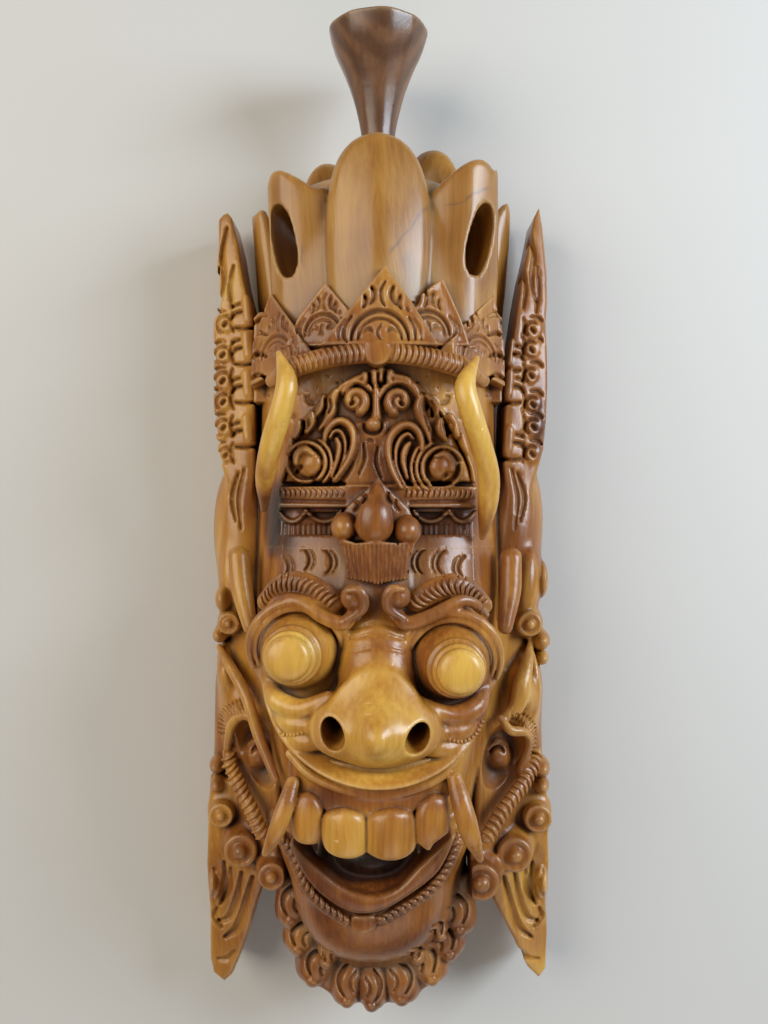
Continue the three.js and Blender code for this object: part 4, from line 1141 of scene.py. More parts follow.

# %% Tones of the wood and painted light, from 0 dark to 1 light
# tones are partly the wood's own colour and partly painted light: the left side, which faces the light, is
# set lighter than the right, and the mouth pocket and the recess under the panel are set dark as painted
# shade
TONES_AND_PAINTED_LIGHT = [  # middle, how far it reaches along each axis, tone
    ((0, 40, 92), (34, 26, 12), 0.50), ((0, 62, 92), (22, 9, 12), 0.52), ((0, 85, 95), (60, 20, 20), 0.53),
    # the recess under the panel, darkest at its left end: painted shade
    ((0, 0, 76), (46, 11, 12), 0.30), ((-49, 2, 72), (7, 13, 14), 0.0), ((-46, -6, 74), (8, 8, 12), 0.04),
    ((0, 3, 98), (14, 14, 7), 0.38),
    ((0, -17, 98), (16, 9, 6), 0.29), ((-35, -20, 84), (24, 8, 12), 0.44), ((35, -20, 84), (24, 8, 12), 0.46),
    ((0, -36, 104), (16, 7, 8), 0.46), ((-32, -38, 100), (20, 5, 8), 0.52),
    ((32, -38, 100), (20, 5, 8), 0.46),
    ((-33, -29, 95), (18, 4.5, 8), 0.40), ((33, -29, 95), (18, 4.5, 8), 0.38),
    ((-37, -57, 114), (10, 10, 7), 0.94), ((34.5, -62, 114), (10, 10, 7), 0.90),
    ((-34, -56, 98), (17, 17, 8), 0.70), ((32, -61, 98), (17, 17, 8), 0.52),
    ((0, -50, 94), (12, 14, 10), 0.58), ((0, -82, 122), (24, 20, 14), 0.90),
    ((18, -88, 114), (12, 12, 12), 0.80),
    ((-36, -84, 98), (14, 12, 12), 0.86), ((35, -86, 98), (13, 12, 12), 0.52),
    ((-14, -107, 108), (30, 8, 7), 0.86), ((30, -102, 106), (16, 9, 8), 0.62),
    ((0, -118, 105), (34, 4.5, 8), 0.40),
    ((-30, -127, 106), (7, 12, 8), 0.82), ((-14, -131, 108), (9, 12, 8), 0.84),
    ((5, -131, 108), (9, 12, 8), 0.68),
    ((23, -128, 106), (7, 12, 8), 0.62), ((-42, -128, 102), (6, 16, 8), 0.60),
    ((40, -128, 102), (6, 16, 8), 0.52),
    # inside the mouth, the pocket and the tongue: painted shade, set darkest
    ((-4, -150, 76), (23, 13, 13), 0.0), ((-4, -152, 74), (22, 13, 12), 0.0),
    ((-4, -146, 78), (20, 9, 14), 0.0), ((-4, -165, 96), (34, 12, 9), 0.33),
    ((-32, -150, 94), (9, 9, 9), 0.36), ((30, -148, 94), (9, 9, 9), 0.36),
    ((0, -188, 76), (30, 14, 16), 0.43),
    ((-34, -164, 86), (14, 20, 6), 0.40), ((20, -170, 86), (16, 12, 6), 0.42),
    ((-4, -224, 50), (40, 16, 20), 0.46), ((-42, -190, 50), (12, 22, 20), 0.42),
    ((40, -192, 50), (12, 22, 20), 0.46),
    ((-59, -108, 44), (8, 14, 13), 0.44), ((62, -110, 44), (8, 14, 13), 0.50),
    ((-72, -78, 46), (10, 16, 16), 0.62), ((74, -76, 46), (12, 18, 16), 0.66),
    ((-72, 90, 36), (12, 66, 22), 0.72), ((76, 90, 36), (12, 66, 22), 0.58),
    ((-76, -5, 34), (12, 34, 22), 0.70), ((76, -5, 34), (12, 34, 22), 0.50),
    ((80, 47, 44), (4, 12, 10), 0.02),
    ((-64, -32, 66), (5, 16, 8), 0.74), ((63, -32, 66), (5, 16, 8), 0.58),
    ((-74, -146, 44), (9, 12, 14), 0.72), ((76, -146, 44), (9, 12, 14), 0.68),
    ((-65, -158, 54), (9, 9, 10), 0.56), ((66, -160, 54), (9, 9, 10), 0.60),
    ((-49, -167, 62), (8, 8, 10), 0.50), ((48, -168, 64), (9, 9, 10), 0.42),
    ((-74, -200, 30), (12, 32, 16), 0.64), ((75, -200, 30), (12, 32, 16), 0.72),
]
for points in HORNS:  # the horns are sapwood, light from end to end
    for step, (x, y, z) in enumerate(smooth_path(points, 2)):
        TONES_AND_PAINTED_LIGHT.append(((x, y, z + 2), (4.6, 6.0, 6.0), 0.62 + 0.36 * min(step / 5, 1)))
RESIDUES = [  # where pale polish has dried in the cuts
    ((-36, -20, 84), (24, 10, 14), 1.0), ((36, -20, 84), (24, 10, 14), 1.0),
    ((0, 78, 92), (62, 24, 22), 0.75), ((0, 112, 80), (50, 10, 30), 0.7), ((0, 150, 70), (44, 12, 14), 0.6),
    ((-46, -80, 94), (7, 12, 10), 0.9), ((44, -90, 94), (8, 12, 10), 0.9), ((56, -125, 56), (9, 9, 14), 1.4),
    ((-56, -124, 54), (9, 9, 14), 1.2), ((40, -60, 92), (16, 12, 8), 0.5), ((-46, -62, 84), (8, 14, 12), 0.6),
    ((0, -220, 50), (46, 24, 20), 1.0), ((74, 60, 36), (12, 60, 20), 0.5),
    ((-48, -166, 62), (10, 10, 10), 0.8),
    ((30, 20, 84), (14, 10, 8), 0.4), ((-42, -190, 50), (14, 24, 20), 0.8),
    ((40, -192, 50), (14, 24, 20), 0.9),
]


def weigh(points, regions, usual, usual_weight):
    """The regions' values at each point, weighted by how near they are."""
    total = np.full(len(points), usual * usual_weight)
    weight = np.full(len(points), usual_weight)
    for centre, reach, value in regions:
        away = (((points - np.array(centre)) / np.array(reach)) ** 2).sum(1)
        near = np.exp(-np.minimum(away, 60.0) ** 1.4)
        total += near * value
        weight += near
    return total / weight


def store(piece, name, values):
    layer = piece.data.attributes.new(name, "FLOAT", "POINT")
    layer.data.foreach_set("value", np.asarray(values, np.float32))


def give_tones(piece, points, block=None):
    """Stores depth_mid, depth_wide, tone and residue on a piece, and depth_fine if it has a block.

    points are in millimetres."""
    store(piece, "depth_mid", sample(mid_share, grid_low, WIDE_GRAIN, points))
    store(piece, "depth_wide", sample(wide_share, grid_low, WIDE_GRAIN, points))
    store(piece, "tone", weigh(points, TONES_AND_PAINTED_LIGHT, usual=0.60, usual_weight=0.10))
    store(piece, "residue", weigh(points, RESIDUES, usual=0.0, usual_weight=0.30))
    if block is not None:
        near = np.clip(0.5 - block.field / (2.4 * block.grain), 0, 1)
        store(piece, "depth_fine", sample(box_blur(near, FINE_REACH, block.grain), block.low, block.grain,
                                          points))


# %% Turn the blocks into pieces
CALM = {"face": 0.05, "forehead": 0.06, "tiara": 0.05, "crown": 0.0, "finial": 0.02, "jaw": 0.045,
        "side_left": 0.07, "side_right": 0.07, "core": 0.05}
PIECES = {}
for name, block in BLOCKS.items():
    points, triangles, quads = skin_of(block, CALM[name])
    PIECES[name] = build_mesh(name, points, triangles, quads)
    give_tones(PIECES[name], points, block)
    print(f"{name}: {len(triangles) + 2 * len(quads)} triangles")


# %% [markdown]
# ## The wood
# The finish is the same all over: wood, wax, and years of hands. Groups hold what the materials
# share. Grain gives the long streaks of the timber. The second group paints shade into what lies deep
# and a highlight onto what stands proud, and leaves pale polish in some of the cuts. Its recess value
# also makes the hollows duller than the proud edges.
# A third group draws one mineral vein, and the crown uses it six times.

# %% Shader groups
def new_group(name, inputs, outputs):
    tree = bpy.data.node_groups.new(name, "ShaderNodeTree")
    for label, kind, value in inputs:
        socket = tree.interface.new_socket(label, in_out="INPUT", socket_type=kind)
        if value is not None:
            socket.default_value = value
    for label, kind in outputs:
        tree.interface.new_socket(label, in_out="OUTPUT", socket_type=kind)
    return tree, tree.nodes.new("NodeGroupInput"), tree.nodes.new("NodeGroupOutput")


def add_node(tree, kind, inputs=None, **settings):
    """A node with its settings, and its inputs set to values or linked to sockets."""
    node = tree.nodes.new(kind)
    for key, value in settings.items():
        setattr(node, key, value)
    for key, value in (inputs or {}).items():
        if isinstance(value, bpy.types.NodeSocket):
            tree.links.new(value, node.inputs[key])
        else:
            node.inputs[key].default_value = value
    return node


def ramp(tree, factor, stops):
    """A colour ramp through stops of (place, (red, green, blue))."""
    node = add_node(tree, "ShaderNodeValToRGB", {0: factor})
    while len(node.color_ramp.elements) < len(stops):
        node.color_ramp.elements.new(0.5)
    for element, (place, colour) in zip(node.color_ramp.elements, stops):
        element.position = place
        element.color = (*colour, 1) if len(colour) == 3 else colour
    return node.outputs[0]


def math_node(tree, operation, a, b=0.0, clamp=False):
    return add_node(tree, "ShaderNodeMath", {0: a, 1: b}, operation=operation, use_clamp=clamp).outputs[0]


def vector_node(tree, operation, *values):
    """A sum with vectors. A length and a dot product come out as a number, the rest as a vector."""
    node = add_node(tree, "ShaderNodeVectorMath", dict(enumerate(values)), operation=operation)
    return node.outputs["Value" if operation in ("LENGTH", "DOT_PRODUCT") else "Vector"]


def noise_node(tree, place, scale, detail, roughness=0.5):
    return add_node(tree, "ShaderNodeTexNoise", {"Vector": place, "Scale": scale, "Detail": detail,
                                                 "Roughness": roughness})


def remap(tree, value, low, high, to_low=0.0, to_high=1.0):
    """Stretches low to high over to_low to to_high, and stops at both ends."""
    return add_node(tree, "ShaderNodeMapRange", {"Value": value, 1: low, 2: high, 3: to_low,
                                                 4: to_high}).outputs[0]


def mix_colour(tree, blend, factor, a, b):
    node = tree.nodes.new("ShaderNodeMix")
    node.data_type, node.blend_type = "RGBA", blend
    for key, value in ((0, factor), (6, a), (7, b)):
        if isinstance(value, bpy.types.NodeSocket):
            tree.links.new(value, node.inputs[key])
        else:
            is_colour = isinstance(value, tuple) and len(value) == 3
            node.inputs[key].default_value = (*value, 1) if is_colour else value
    return node.outputs[2]


FLOAT, COLOUR, VECTOR = "NodeSocketFloat", "NodeSocketColor", "NodeSocketVector"

grain_tree, grain_in, grain_out = new_group(
    "wood_grain", [("Position", VECTOR, None), ("Ring spacing", FLOAT, 0.011)],
    [("Rings", FLOAT), ("Fibre", FLOAT), ("Pores", FLOAT), ("Cloud", FLOAT)])
warp = noise_node(grain_tree, grain_in.outputs["Position"], scale=9.0, detail=2.0).outputs["Color"]
bent = vector_node(grain_tree, "ADD", grain_in.outputs["Position"],
                   vector_node(grain_tree, "MULTIPLY", warp, (0.030, 0.0, 0.030)))
# the growth rings run round a heart far behind the mask, so they cut its front as long ovals
centred = vector_node(grain_tree, "ADD", bent, (0.03, 0.0, 0.16))
away = vector_node(grain_tree, "LENGTH", vector_node(grain_tree, "MULTIPLY", centred, (1.0, 0.07, 1.0)))
turns = math_node(grain_tree, "DIVIDE", away, grain_in.outputs["Ring spacing"])
rings = math_node(grain_tree, "SINE", math_node(grain_tree, "MULTIPLY", turns, 2 * math.pi))
rings = math_node(grain_tree, "MULTIPLY_ADD", rings, 0.5)
rings.node.inputs[2].default_value = 0.5
long_way = vector_node(grain_tree, "MULTIPLY", bent, (420.0, 16.0, 420.0))
fibre = noise_node(grain_tree, long_way, scale=1.0, detail=3.0, roughness=0.6)
pore_way = vector_node(grain_tree, "MULTIPLY", bent, (1400.0, 120.0, 1400.0))
pores = noise_node(grain_tree, pore_way, scale=1.0, detail=1.0)
cloud = noise_node(grain_tree, grain_in.outputs["Position"], scale=22.0, detail=3.0)
for label, socket in (("Rings", rings), ("Fibre", fibre.outputs["Fac"]), ("Pores", pores.outputs["Fac"]),
                      ("Cloud", cloud.outputs["Fac"])):
    grain_tree.links.new(socket, grain_out.inputs[label])

# patina and painted light: painted shade in the recesses, a painted highlight on the proud wood, and real
# pale polish dust in the cuts
patina, patina_and_light_in, patina_and_light_out = new_group(
    "patina", [("Wood", COLOUR, (0.4, 0.2, 0.1, 1)), ("Depth fine", FLOAT, 0.5), ("Depth mid", FLOAT, 0.5),
               ("Depth wide", FLOAT, 0.5), ("Residue", FLOAT, 0.0), ("Cloud", FLOAT, 0.5),
               ("Wax", COLOUR, (0.032, 0.010, 0.005, 1)), ("Polish dust", COLOUR, (0.38, 0.30, 0.19, 1))],
    [("Colour", COLOUR), ("Recess", FLOAT)])
fine = remap(patina, patina_and_light_in.outputs["Depth fine"], 0.53, 0.72)
middle = remap(patina, patina_and_light_in.outputs["Depth mid"], 0.56, 0.84)
wide = remap(patina, patina_and_light_in.outputs["Depth wide"], 0.58, 0.88)
recess = math_node(patina, "ADD", math_node(patina, "MULTIPLY", fine, 0.74),
                   math_node(patina, "MULTIPLY", middle, 0.55))
recess = math_node(patina, "ADD", recess, math_node(patina, "MULTIPLY", wide, 0.55), clamp=True)
proud = remap(patina, patina_and_light_in.outputs["Depth fine"], 0.47, 0.30)
# painted shade: the deeper the wood lies, the more its colour is mixed towards a dark shade colour
dark = mix_colour(patina, "MIX", math_node(patina, "MULTIPLY", recess, 0.93), patina_and_light_in.outputs["Wood"],
                  patina_and_light_in.outputs["Wax"])
# painted highlight: what stands proud is screened a warm light colour
lit = mix_colour(patina, "SCREEN", math_node(patina, "MULTIPLY", proud, 0.16), dark, (0.9, 0.62, 0.32))
# pale dust of old polish lies in the cuts, in patches, but not in the very deepest of them
dust = remap(patina, patina_and_light_in.outputs["Depth mid"], 0.44, 0.58)
patchy = remap(patina, patina_and_light_in.outputs["Cloud"], 0.40, 0.66, to_low=0.15)
dusty = math_node(patina, "MULTIPLY", math_node(patina, "MULTIPLY", dust, patchy),
                  patina_and_light_in.outputs["Residue"])
dusty = math_node(patina, "MULTIPLY", dusty, math_node(patina, "SUBTRACT", 1.0, fine, clamp=True))
pale = mix_colour(patina, "MIX", math_node(patina, "MULTIPLY", dusty, 0.62), lit,
                  patina_and_light_in.outputs["Polish dust"])
patina.links.new(pale, patina_and_light_out.inputs["Colour"])
dull = math_node(patina, "MAXIMUM", recess, math_node(patina, "MULTIPLY", dusty, 0.7))
patina.links.new(dull, patina_and_light_out.inputs["Recess"])


# %% Materials
WOOD_STOPS = [(0.0, (0.010, 0.0035, 0.002)), (0.14, (0.042, 0.012, 0.004)), (0.34, (0.155, 0.042, 0.008)),
              (0.52, (0.31, 0.104, 0.016)), (0.72, (0.52, 0.240, 0.036)), (0.95, (0.74, 0.44, 0.080))]


FIBRE_SHARE, CLOUD_SHARE = 0.34, 0.55  # how far the fibres and the clouds move the tone
DULL = 0.62  # the roughness of a deep recess
COAT_PROUD, COAT_DEEP = 0.42, 0.05  # how much wax lies on the proud wood and in the recesses


def wood_material(name, tone, stops, ring_share, gloss, ring_spacing=0.011):
    """A waxed wood. tone is a fixed value or None to read the piece's own tone."""
    material = bpy.data.materials.new(name)
    material.use_nodes = True
    tree = material.node_tree
    shader = tree.nodes["Principled BSDF"]
    place = tree.nodes.new("ShaderNodeTexCoord").outputs["Object"]
    grain = add_node(tree, "ShaderNodeGroup", node_tree=grain_tree)
    tree.links.new(place, grain.inputs["Position"])
    grain.inputs["Ring spacing"].default_value = ring_spacing

    def read(attribute):
        return add_node(tree, "ShaderNodeAttribute", attribute_name=attribute).outputs["Fac"]

    base = read("tone") if tone is None else math_node(tree, "ADD", tone, 0.0)
    by_rings, by_fibre, by_cloud = (
        math_node(tree, "MULTIPLY", math_node(tree, "SUBTRACT", grain.outputs[label], 0.5), share)
        for label, share in (("Rings", ring_share), ("Fibre", FIBRE_SHARE), ("Cloud", CLOUD_SHARE)))
    level = math_node(tree, "ADD", math_node(tree, "ADD", base, by_rings),
                      math_node(tree, "ADD", by_fibre, by_cloud), clamp=True)
    wood_colour = ramp(tree, level, stops)
    skin = add_node(tree, "ShaderNodeGroup", node_tree=patina)
    tree.links.new(wood_colour, skin.inputs["Wood"])
    for label, attribute in (("Depth fine", "depth_fine"), ("Depth mid", "depth_mid"),
                             ("Depth wide", "depth_wide"),
                             ("Residue", "residue")):
        tree.links.new(read(attribute), skin.inputs[label])
    tree.links.new(grain.outputs["Cloud"], skin.inputs["Cloud"])
    tree.links.new(skin.outputs["Colour"], shader.inputs["Base Color"])
    rough = remap(tree, skin.outputs["Recess"], 0.0, 1.0, gloss, DULL)
    rough = math_node(tree, "ADD", rough, math_node(tree, "MULTIPLY", grain.outputs["Fibre"], 0.12))
    tree.links.new(rough, shader.inputs["Roughness"])
    coat = remap(tree, skin.outputs["Recess"], 0.0, 0.7, COAT_PROUD, COAT_DEEP)
    tree.links.new(coat, shader.inputs["Coat Weight"])
    shader.inputs["Coat Roughness"].default_value = 0.22
    shader.inputs["Specular IOR Level"].default_value = 0.40
    fine_bump = add_node(tree, "ShaderNodeBump", {"Height": grain.outputs["Pores"], "Strength": 0.10,
                                                  "Distance": 0.0004})
    cuts_bump = add_node(tree, "ShaderNodeBump", {"Height": grain.outputs["Fibre"], "Strength": 0.16,
                                                  "Distance": 0.0006, "Normal": fine_bump.outputs[0]})
    tree.links.new(cuts_bump.outputs[0], shader.inputs["Normal"])
    return material


VEIN_WOBBLE = 0.008  # how far a vein strays, in metres
VEIN_FADE = 300.0  # how fast a vein begins and ends
vein_tree, vein_in, vein_out = new_group(
    "vein", [("Position", VECTOR, None), ("Along", VECTOR, (0, 1, 0)), ("Across", VECTOR, (1, 0, 0)),
             ("Offset", FLOAT, 0.0), ("Start", FLOAT, -1.0), ("End", FLOAT, 1.0), ("Width", FLOAT, 0.0007)],
    [("Mask", FLOAT)])
wobble = noise_node(vein_tree, vein_in.outputs["Position"], scale=60.0, detail=3.0).outputs["Color"]
wobbly = vector_node(vein_tree, "ADD", vein_in.outputs["Position"],
                     vector_node(vein_tree, "MULTIPLY", wobble, (VEIN_WOBBLE, VEIN_WOBBLE, 0.0)))
aside = vector_node(vein_tree, "DOT_PRODUCT", wobbly, vein_in.outputs["Across"])
apart = math_node(vein_tree, "ABSOLUTE", math_node(vein_tree, "SUBTRACT", aside, vein_in.outputs["Offset"]))
line = math_node(vein_tree, "SUBTRACT", 1.0, math_node(vein_tree, "DIVIDE", apart, vein_in.outputs["Width"]),
                 clamp=True)
onward = vector_node(vein_tree, "DOT_PRODUCT", wobbly, vein_in.outputs["Along"])
begun = math_node(vein_tree, "SUBTRACT", onward, vein_in.outputs["Start"])
left_over = math_node(vein_tree, "SUBTRACT", vein_in.outputs["End"], onward)
both_ends = math_node(vein_tree, "MULTIPLY", math_node(vein_tree, "MULTIPLY", begun, VEIN_FADE, clamp=True),
                      math_node(vein_tree, "MULTIPLY", left_over, VEIN_FADE, clamp=True))
vein_tree.links.new(math_node(vein_tree, "MULTIPLY", line, both_ends), vein_out.inputs["Mask"])

VEINS = [  # ends in millimetres and half width: mineral lines that cross the crown
    ((25, 146), (14, 131), 0.9), ((15.5, 133), (4, 119), 0.9), ((30, 145.5), (41, 148), 0.9),
    ((39, 147.5), (52, 155), 0.9), ((12, 122), (22, 100), 7.0), ((-36, 128), (-33, 117), 0.9),
]
VEIN_COLOUR = (0.075, 0.062, 0.050)


def add_veins(material):
    """Draws the veins over the wood colour, before the painted shade, highlight and polish dust."""
    tree = material.node_tree
    skin = next(node for node in tree.nodes if node.type == "GROUP" and node.node_tree == patina)
    colour = skin.inputs["Wood"].links[0].from_socket
    place = next(node for node in tree.nodes if node.type == "TEX_COORD").outputs["Object"]
    for start, end, width in VEINS:
        start, end = np.array(start) * MM, np.array(end) * MM
        along = (end - start) / np.linalg.norm(end - start)
        across = np.array([-along[1], along[0]])
        shift = VEIN_WOBBLE / 2  # the mean of the wobble
        mask = add_node(tree, "ShaderNodeGroup", node_tree=vein_tree)
        tree.links.new(place, mask.inputs["Position"])
        for label, value in (("Along", (*along, 0)), ("Across", (*across, 0)),
                             ("Offset", across @ (start + shift)),
                             ("Start", along @ (start + shift)), ("End", along @ (end + shift)),
                             ("Width", width * MM)):
            mask.inputs[label].default_value = value
        strength = 0.55 if width < 2 else 0.40
        colour = mix_colour(tree, "MIX", math_node(tree, "MULTIPLY", mask.outputs[0], strength),
                            colour, VEIN_COLOUR)
    tree.links.new(colour, skin.inputs["Wood"])


carved = wood_material("carved_wood", None, WOOD_STOPS, ring_share=0.10, gloss=0.30)
CROWN_STOPS = [(0.0, (0.04, 0.013, 0.004)), (0.4, (0.18, 0.066, 0.014)), (0.6, (0.33, 0.140, 0.026)),
               (0.78, (0.47, 0.235, 0.046)), (1.0, (0.62, 0.37, 0.09))]
crown_wood = wood_material("crown_wood", 0.68, CROWN_STOPS, ring_share=0.16, gloss=0.30, ring_spacing=0.016)
add_veins(crown_wood)
FINIAL_STOPS = [(0.0, (0.045, 0.019, 0.010)), (0.4, (0.13, 0.058, 0.027)), (0.7, (0.25, 0.118, 0.055)),
                (1.0, (0.38, 0.19, 0.09))]
finial_wood = wood_material("finial_wood", 0.48, FINIAL_STOPS, ring_share=0.20, gloss=0.24,
                            ring_spacing=0.009)
for name, piece in PIECES.items():
    piece.data.materials.append({"crown": crown_wood, "finial": finial_wood}.get(name, carved))
print("materials made")


# %% [markdown]
# ## Rows of ridges
# Combs of curved ridges run along the tiara's band, over the brows, under the panel, round the chin,
# below the ears and along the cheeks. A small ridge is modelled, bent to the left or to the right,
# and Geometry Nodes lays it along each line at a set pitch. The carver's hand is never quite even,
# so size and angle vary a little from a seed.

# %% One ridge, bent to either side
def ridge_shape(name, bow, along=9, around=8):
    """A unit ridge: 1 wide in X, 1 long in Y, 1 high in Z, bent sideways and down at its ends."""
    rows, deep = [], []
    for i in range(along):
        t = -1 + 2 * i / (along - 1)
        full = max(1 - abs(t) ** 2.6, 0.0) ** 0.5 * 0.94 + 0.06
        for k in range(around):
            a = 2 * math.pi * k / around
            rows.append((0.5 * full * math.cos(a) + bow * (1 - t * t), 0.5 * t,
                         0.55 * full * math.sin(a) - 0.42 * t * t))
            # depth_fine rises from the ridge's top to its underside, so each ridge gets painted shade below
            # and a painted highlight on top
            deep.append(0.36 + 0.42 * (1 - math.sin(a)) / 2 * 1.2)
    faces = [(i * around + k, i * around + (k + 1) % around, (i + 1) * around + (k + 1) % around,
              (i + 1) * around + k) for i in range(along - 1) for k in range(around)]
    faces = [face[::-1] for face in faces]
    faces.append(tuple(range(around)))
    faces.append(tuple(reversed(range((along - 1) * around, along * around))))
    mesh = bpy.data.meshes.new(name)
    mesh.from_pydata(rows, [], faces)
    mesh.polygons.foreach_set("use_smooth", [True] * len(faces))
    layer = mesh.attributes.new("depth_fine", "FLOAT", "POINT")
    layer.data.foreach_set("value", deep)
    checker = bmesh.new()
    checker.from_mesh(mesh)
    bmesh.ops.recalc_face_normals(checker, faces=checker.faces)
    checker.to_mesh(mesh)
    checker.free()
    return bpy.data.objects.new(name, mesh)


RIDGES = {-1: ridge_shape("ridge_left", -0.55), 1: ridge_shape("ridge_right", 0.55)}

# %% The comb tree
comb_tree = bpy.data.node_groups.new("comb", "GeometryNodeTree")
comb_tree.is_modifier = True
comb_tree.interface.new_socket("Geometry", in_out="OUTPUT", socket_type="NodeSocketGeometry")
COMB_SOCKETS = {}
for label, kind, value in (("Line", "NodeSocketObject", None), ("Ridge", "NodeSocketObject", None),
                           ("Pitch", "NodeSocketFloat", 0.0026),
                           ("Size", "NodeSocketVector", (0.002, 0.008, 0.002)),
                           ("Lean", "NodeSocketFloat", 0.0), ("Unevenness", "NodeSocketFloat", 0.12),
                           ("Seed", "NodeSocketInt", 1), ("Material", "NodeSocketMaterial", None)):
    socket = comb_tree.interface.new_socket(label, in_out="INPUT", socket_type=kind)
    COMB_SOCKETS[label] = socket.identifier
    if value is not None:
        socket.default_value = value
comb_in, comb_out = comb_tree.nodes.new("NodeGroupInput"), comb_tree.nodes.new("NodeGroupOutput")
line_in = add_node(comb_tree, "GeometryNodeObjectInfo", {"Object": comb_in.outputs["Line"]})
ridge_in = add_node(comb_tree, "GeometryNodeObjectInfo", {"Object": comb_in.outputs["Ridge"]})
spots = add_node(comb_tree, "GeometryNodeCurveToPoints", {"Curve": line_in.outputs["Geometry"],
                                                          "Length": comb_in.outputs["Pitch"]}, mode="LENGTH")
facing = add_node(comb_tree, "FunctionNodeAlignRotationToVector", {"Vector": spots.outputs["Tangent"]},
                  axis="X")
upright = add_node(comb_tree, "FunctionNodeAlignRotationToVector", {"Rotation": facing.outputs[0],
                                                                    "Vector": (0.0, 0.0, 1.0)}, axis="Z")
upright.pivot_axis = "X"
uneven = add_node(comb_tree, "FunctionNodeRandomValue", {"Seed": comb_in.outputs["Seed"]}, data_type="FLOAT")
comb_tree.links.new(comb_in.outputs["Unevenness"], uneven.inputs[3])
less = add_node(comb_tree, "ShaderNodeMath", {0: 1.0, 1: uneven.outputs[1]}, operation="SUBTRACT")
swing = add_node(comb_tree, "ShaderNodeMath", {0: comb_in.outputs["Lean"], 1: uneven.outputs[1]},
                 operation="ADD")
turn = add_node(comb_tree, "ShaderNodeCombineXYZ", {2: swing.outputs[0]})
turned = add_node(comb_tree, "FunctionNodeRotateRotation",
                  {"Rotation": upright.outputs[0], "Rotate By": turn.outputs[0]}, rotation_space="LOCAL")
sized = add_node(comb_tree, "ShaderNodeVectorMath", {0: comb_in.outputs["Size"], "Scale": less.outputs[0]},
                 operation="SCALE")
placed = add_node(comb_tree, "GeometryNodeInstanceOnPoints", {
    "Points": spots.outputs["Points"], "Instance": ridge_in.outputs["Geometry"],
    "Rotation": turned.outputs[0],
    "Scale": sized.outputs[0]})
real = add_node(comb_tree, "GeometryNodeRealizeInstances", {"Geometry": placed.outputs[0]})
painted = add_node(comb_tree, "GeometryNodeSetMaterial", {"Geometry": real.outputs[0],
                                                          "Material": comb_in.outputs["Material"]})
comb_tree.links.new(painted.outputs[0], comb_out.inputs[0])


SMOOTH_ENOUGH = 12  # a line with this many points needs no smoothing


def lift(points, rise):
    return [(x, y, z + rise) for x, y, z in points]


def settle(block_name, points, rise):
    """Drops a line onto a block: each point takes the height of the surface under it, plus rise."""
    block = BLOCKS[block_name]
    points = [(*point[:2], 0.0) for point in points]
    rows = smooth_path(points, 4) if len(points) < SMOOTH_ENOUGH else np.array(points, float)
    levels = block.low[2] + block.grain * np.arange(block.field.shape[2])
    heights = []
    for x, y, _ in rows:
        i, k = (int(round((v - low) / block.grain)) for v, low in zip((x, y), block.low))
        column = block.field[min(max(i, 0), block.field.shape[0] - 1),
                             min(max(k, 0), block.field.shape[1] - 1)]
        inside = np.nonzero(column < 0)[0]
        heights.append(levels[inside[-1]] if len(inside) else levels[0])
    heights = np.convolve(np.pad(heights, 2, mode="edge"), np.ones(5) / 5, mode="valid")
    return [(x, y, h + rise) for (x, y, _), h in zip(rows, heights)]


def part_of(points, low, high):
    """The part of a smooth line whose first coordinate lies between low and high."""
    rows = smooth_path(points, 8)
    return [tuple(row) for row in rows if low <= row[0] <= high]


BAND_TOP = lift(BAND, 3.7)
COMBS = [  # line, which way the ridges bend, pitch, size of a ridge, lean
    (part_of(BAND_TOP, -38, -7)[::-1], -1, 2.6, (2.5, 9.6, 2.6), 0.10),
    (part_of(BAND_TOP, 7, 38), 1, 2.6, (2.5, 9.6, 2.6), -0.10),
    (settle("face", COMB["left"], 0.5), 1, 2.5, (2.2, 8.6, 2.6), -0.32),
    (settle("face", COMB["right"], 0.5), -1, 2.5, (2.2, 8.6, 2.6), 0.32),
    ([(x, 13.2, 85.6 - 0.0055 * x * x) for x in np.linspace(-17, -44, 9)], -1, 2.5, (2.2, 6.2, 2.4), 0.25),
    ([(x, 13.2, 85.6 - 0.0055 * x * x) for x in np.linspace(13, 43, 9)], 1, 2.5, (2.2, 6.2, 2.4), -0.25),
    (settle("jaw", ROPE["left"], 0.5), 1, 3.2, (3.0, 6.6, 3.0), 0.55),
    (settle("jaw", ROPE["right"], 0.5), 1, 3.2, (3.0, 6.6, 3.0), 0.55),
    (settle("side_left", EAR_BANDS["left"], 0.1), 1, 3.1, (2.6, 8.8, 2.6), 0.20),
    (settle("side_right", EAR_BANDS["right"], 0.1), -1, 3.1, (2.6, 8.8, 2.6), -0.20),
    (settle("face", [(-48.5, -85), (-46, -90), (-41.4, -92.4), (-36.4, -92), (-31, -90)], 0.2), 1, 2.0,
     (1.7, 3.0, 1.7), 0.0),
    (settle("face", [(30, -93), (37, -95), (42.5, -93), (46.5, -87)], 0.2), -1, 2.0, (1.7, 3.0, 1.7), 0.0),
]


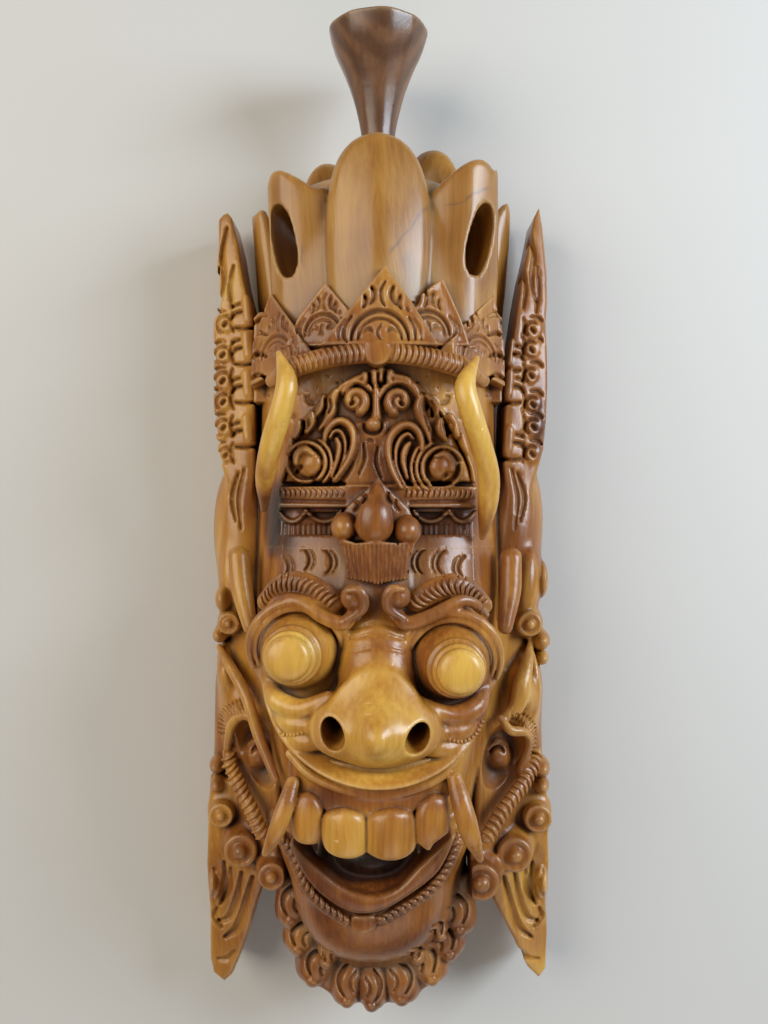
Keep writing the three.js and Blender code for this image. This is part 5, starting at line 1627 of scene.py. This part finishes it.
def make_comb(number, points, way, pitch, size, lean, material):
    curve = bpy.data.curves.new("comb_line", "CURVE")
    curve.dimensions = "3D"
    spline = curve.splines.new("POLY")
    rows = smooth_path(points, 4) if len(points) < SMOOTH_ENOUGH else np.array(points)
    spline.points.add(len(rows) - 1)
    for spot, row in zip(spline.points, rows):
        spot.co = (*(float(v) * MM for v in row), 1)
    line = bpy.data.objects.new("comb_line", curve)
    carrier = bpy.data.objects.new("comb_carrier", bpy.data.meshes.new("comb_carrier"))
    bpy.context.scene.collection.objects.link(carrier)
    modifier = carrier.modifiers.new("comb", "NODES")
    modifier.node_group = comb_tree
    for label, value in (("Line", line), ("Ridge", RIDGES[way]), ("Pitch", pitch * MM),
                         ("Size", [v * MM for v in size]), ("Lean", lean), ("Seed", number),
                         ("Material", material)):
        modifier[COMB_SOCKETS[label]] = value
    shown = carrier.evaluated_get(bpy.context.evaluated_depsgraph_get())
    mesh = bpy.data.meshes.new_from_object(shown)
    mesh.name = f"comb_{number}"
    bpy.data.objects.remove(carrier)
    piece = bpy.data.objects.new(f"comb_{number}", mesh)
    bpy.context.scene.collection.objects.link(piece)
    corners = np.zeros(len(mesh.vertices) * 3, np.float32)
    mesh.vertices.foreach_get("co", corners)
    give_tones(piece, corners.reshape(-1, 3) / MM)
    return piece


for number, (points, way, pitch, size, lean) in enumerate(COMBS, 1):
    comb = make_comb(number, points, way, pitch, size, lean, carved)
    PIECES[comb.name] = comb
    print(comb.name, "with", len(comb.data.polygons), "faces")

# %% [markdown]
# ## Floor, lights and camera
# The mask lies on its back on a plain pale floor and the camera looks straight down on its face.
# One broad soft light stands on the left. A cooler one on the right acts as a window, and its
# reflections show how glossy the wax is. A weak one beyond the beard fills the shadows.

# %% Floor, lights and camera
def make_floor(size, height):
    mesh = bpy.data.meshes.new("floor")
    half = size / 2
    mesh.from_pydata([(-half, -half, height), (half, -half, height), (half, half, height),
                      (-half, half, height)],
                     [], [(0, 1, 2, 3)])
    floor = bpy.data.objects.new("floor", mesh)
    bpy.context.scene.collection.objects.link(floor)
    material = bpy.data.materials.new("floor_pale")
    material.use_nodes = True
    shader = material.node_tree.nodes["Principled BSDF"]
    shader.inputs["Base Color"].default_value = (0.66, 0.65, 0.63, 1)
    shader.inputs["Roughness"].default_value = 0.85
    mesh.materials.append(material)


make_floor(size=8.0, height=-0.0006)


def make_light(name, place, target, size, power, colour):
    lamp = bpy.data.lights.new(name, "AREA")
    lamp.shape, lamp.size, lamp.size_y = "RECTANGLE", size[0], size[1]
    lamp.energy, lamp.color = power, colour
    holder = bpy.data.objects.new(name, lamp)
    bpy.context.scene.collection.objects.link(holder)
    holder.location = place
    away = Vector(target) - Vector(place)
    holder.rotation_euler = away.to_track_quat("-Z", "Y").to_euler()


# name, place, the spot it points at, size, power in watts, colour
make_light("key", (-0.85, 0.35, 0.95), (0, 0, 0.05), (0.9, 1.1), 11.8, (1.0, 0.93, 0.80))
make_light("window", (0.85, 0.30, 0.58), (0, 0, 0.05), (0.45, 0.55), 10.5, (0.78, 0.89, 1.0))
make_light("fill", (0.2, -1.1, 0.9), (0, -0.05, 0.05), (1.2, 0.8), 3.0, (1.0, 0.97, 0.93))
world = bpy.data.worlds.new("studio")
world.use_nodes = True
world.node_tree.nodes["Background"].inputs["Color"].default_value = (1.0, 0.96, 0.90, 1)
world.node_tree.nodes["Background"].inputs["Strength"].default_value = 0.13
bpy.context.scene.world = world

CAMERA_HEIGHT, CAMERA_SHIFT_X, CAMERA_SHIFT_Y = 0.490, 0.003, 0.0045
SENSOR_WIDTH, FOCAL_LENGTH = 36.0, 31.64
lens = bpy.data.cameras.new("camera")
lens.sensor_fit, lens.sensor_width, lens.lens = "AUTO", SENSOR_WIDTH, FOCAL_LENGTH
lens.clip_start = 0.01
camera = bpy.data.objects.new("camera", lens)
camera.location = (CAMERA_SHIFT_X, CAMERA_SHIFT_Y, CAMERA_HEIGHT)
bpy.context.scene.collection.objects.link(camera)
bpy.context.scene.camera = camera
bpy.context.scene.view_settings.view_transform = "Standard"

# %% Hand the pieces to the frame
for piece in PIECES.values():
    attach(piece, "root")
    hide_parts("carved_mask")
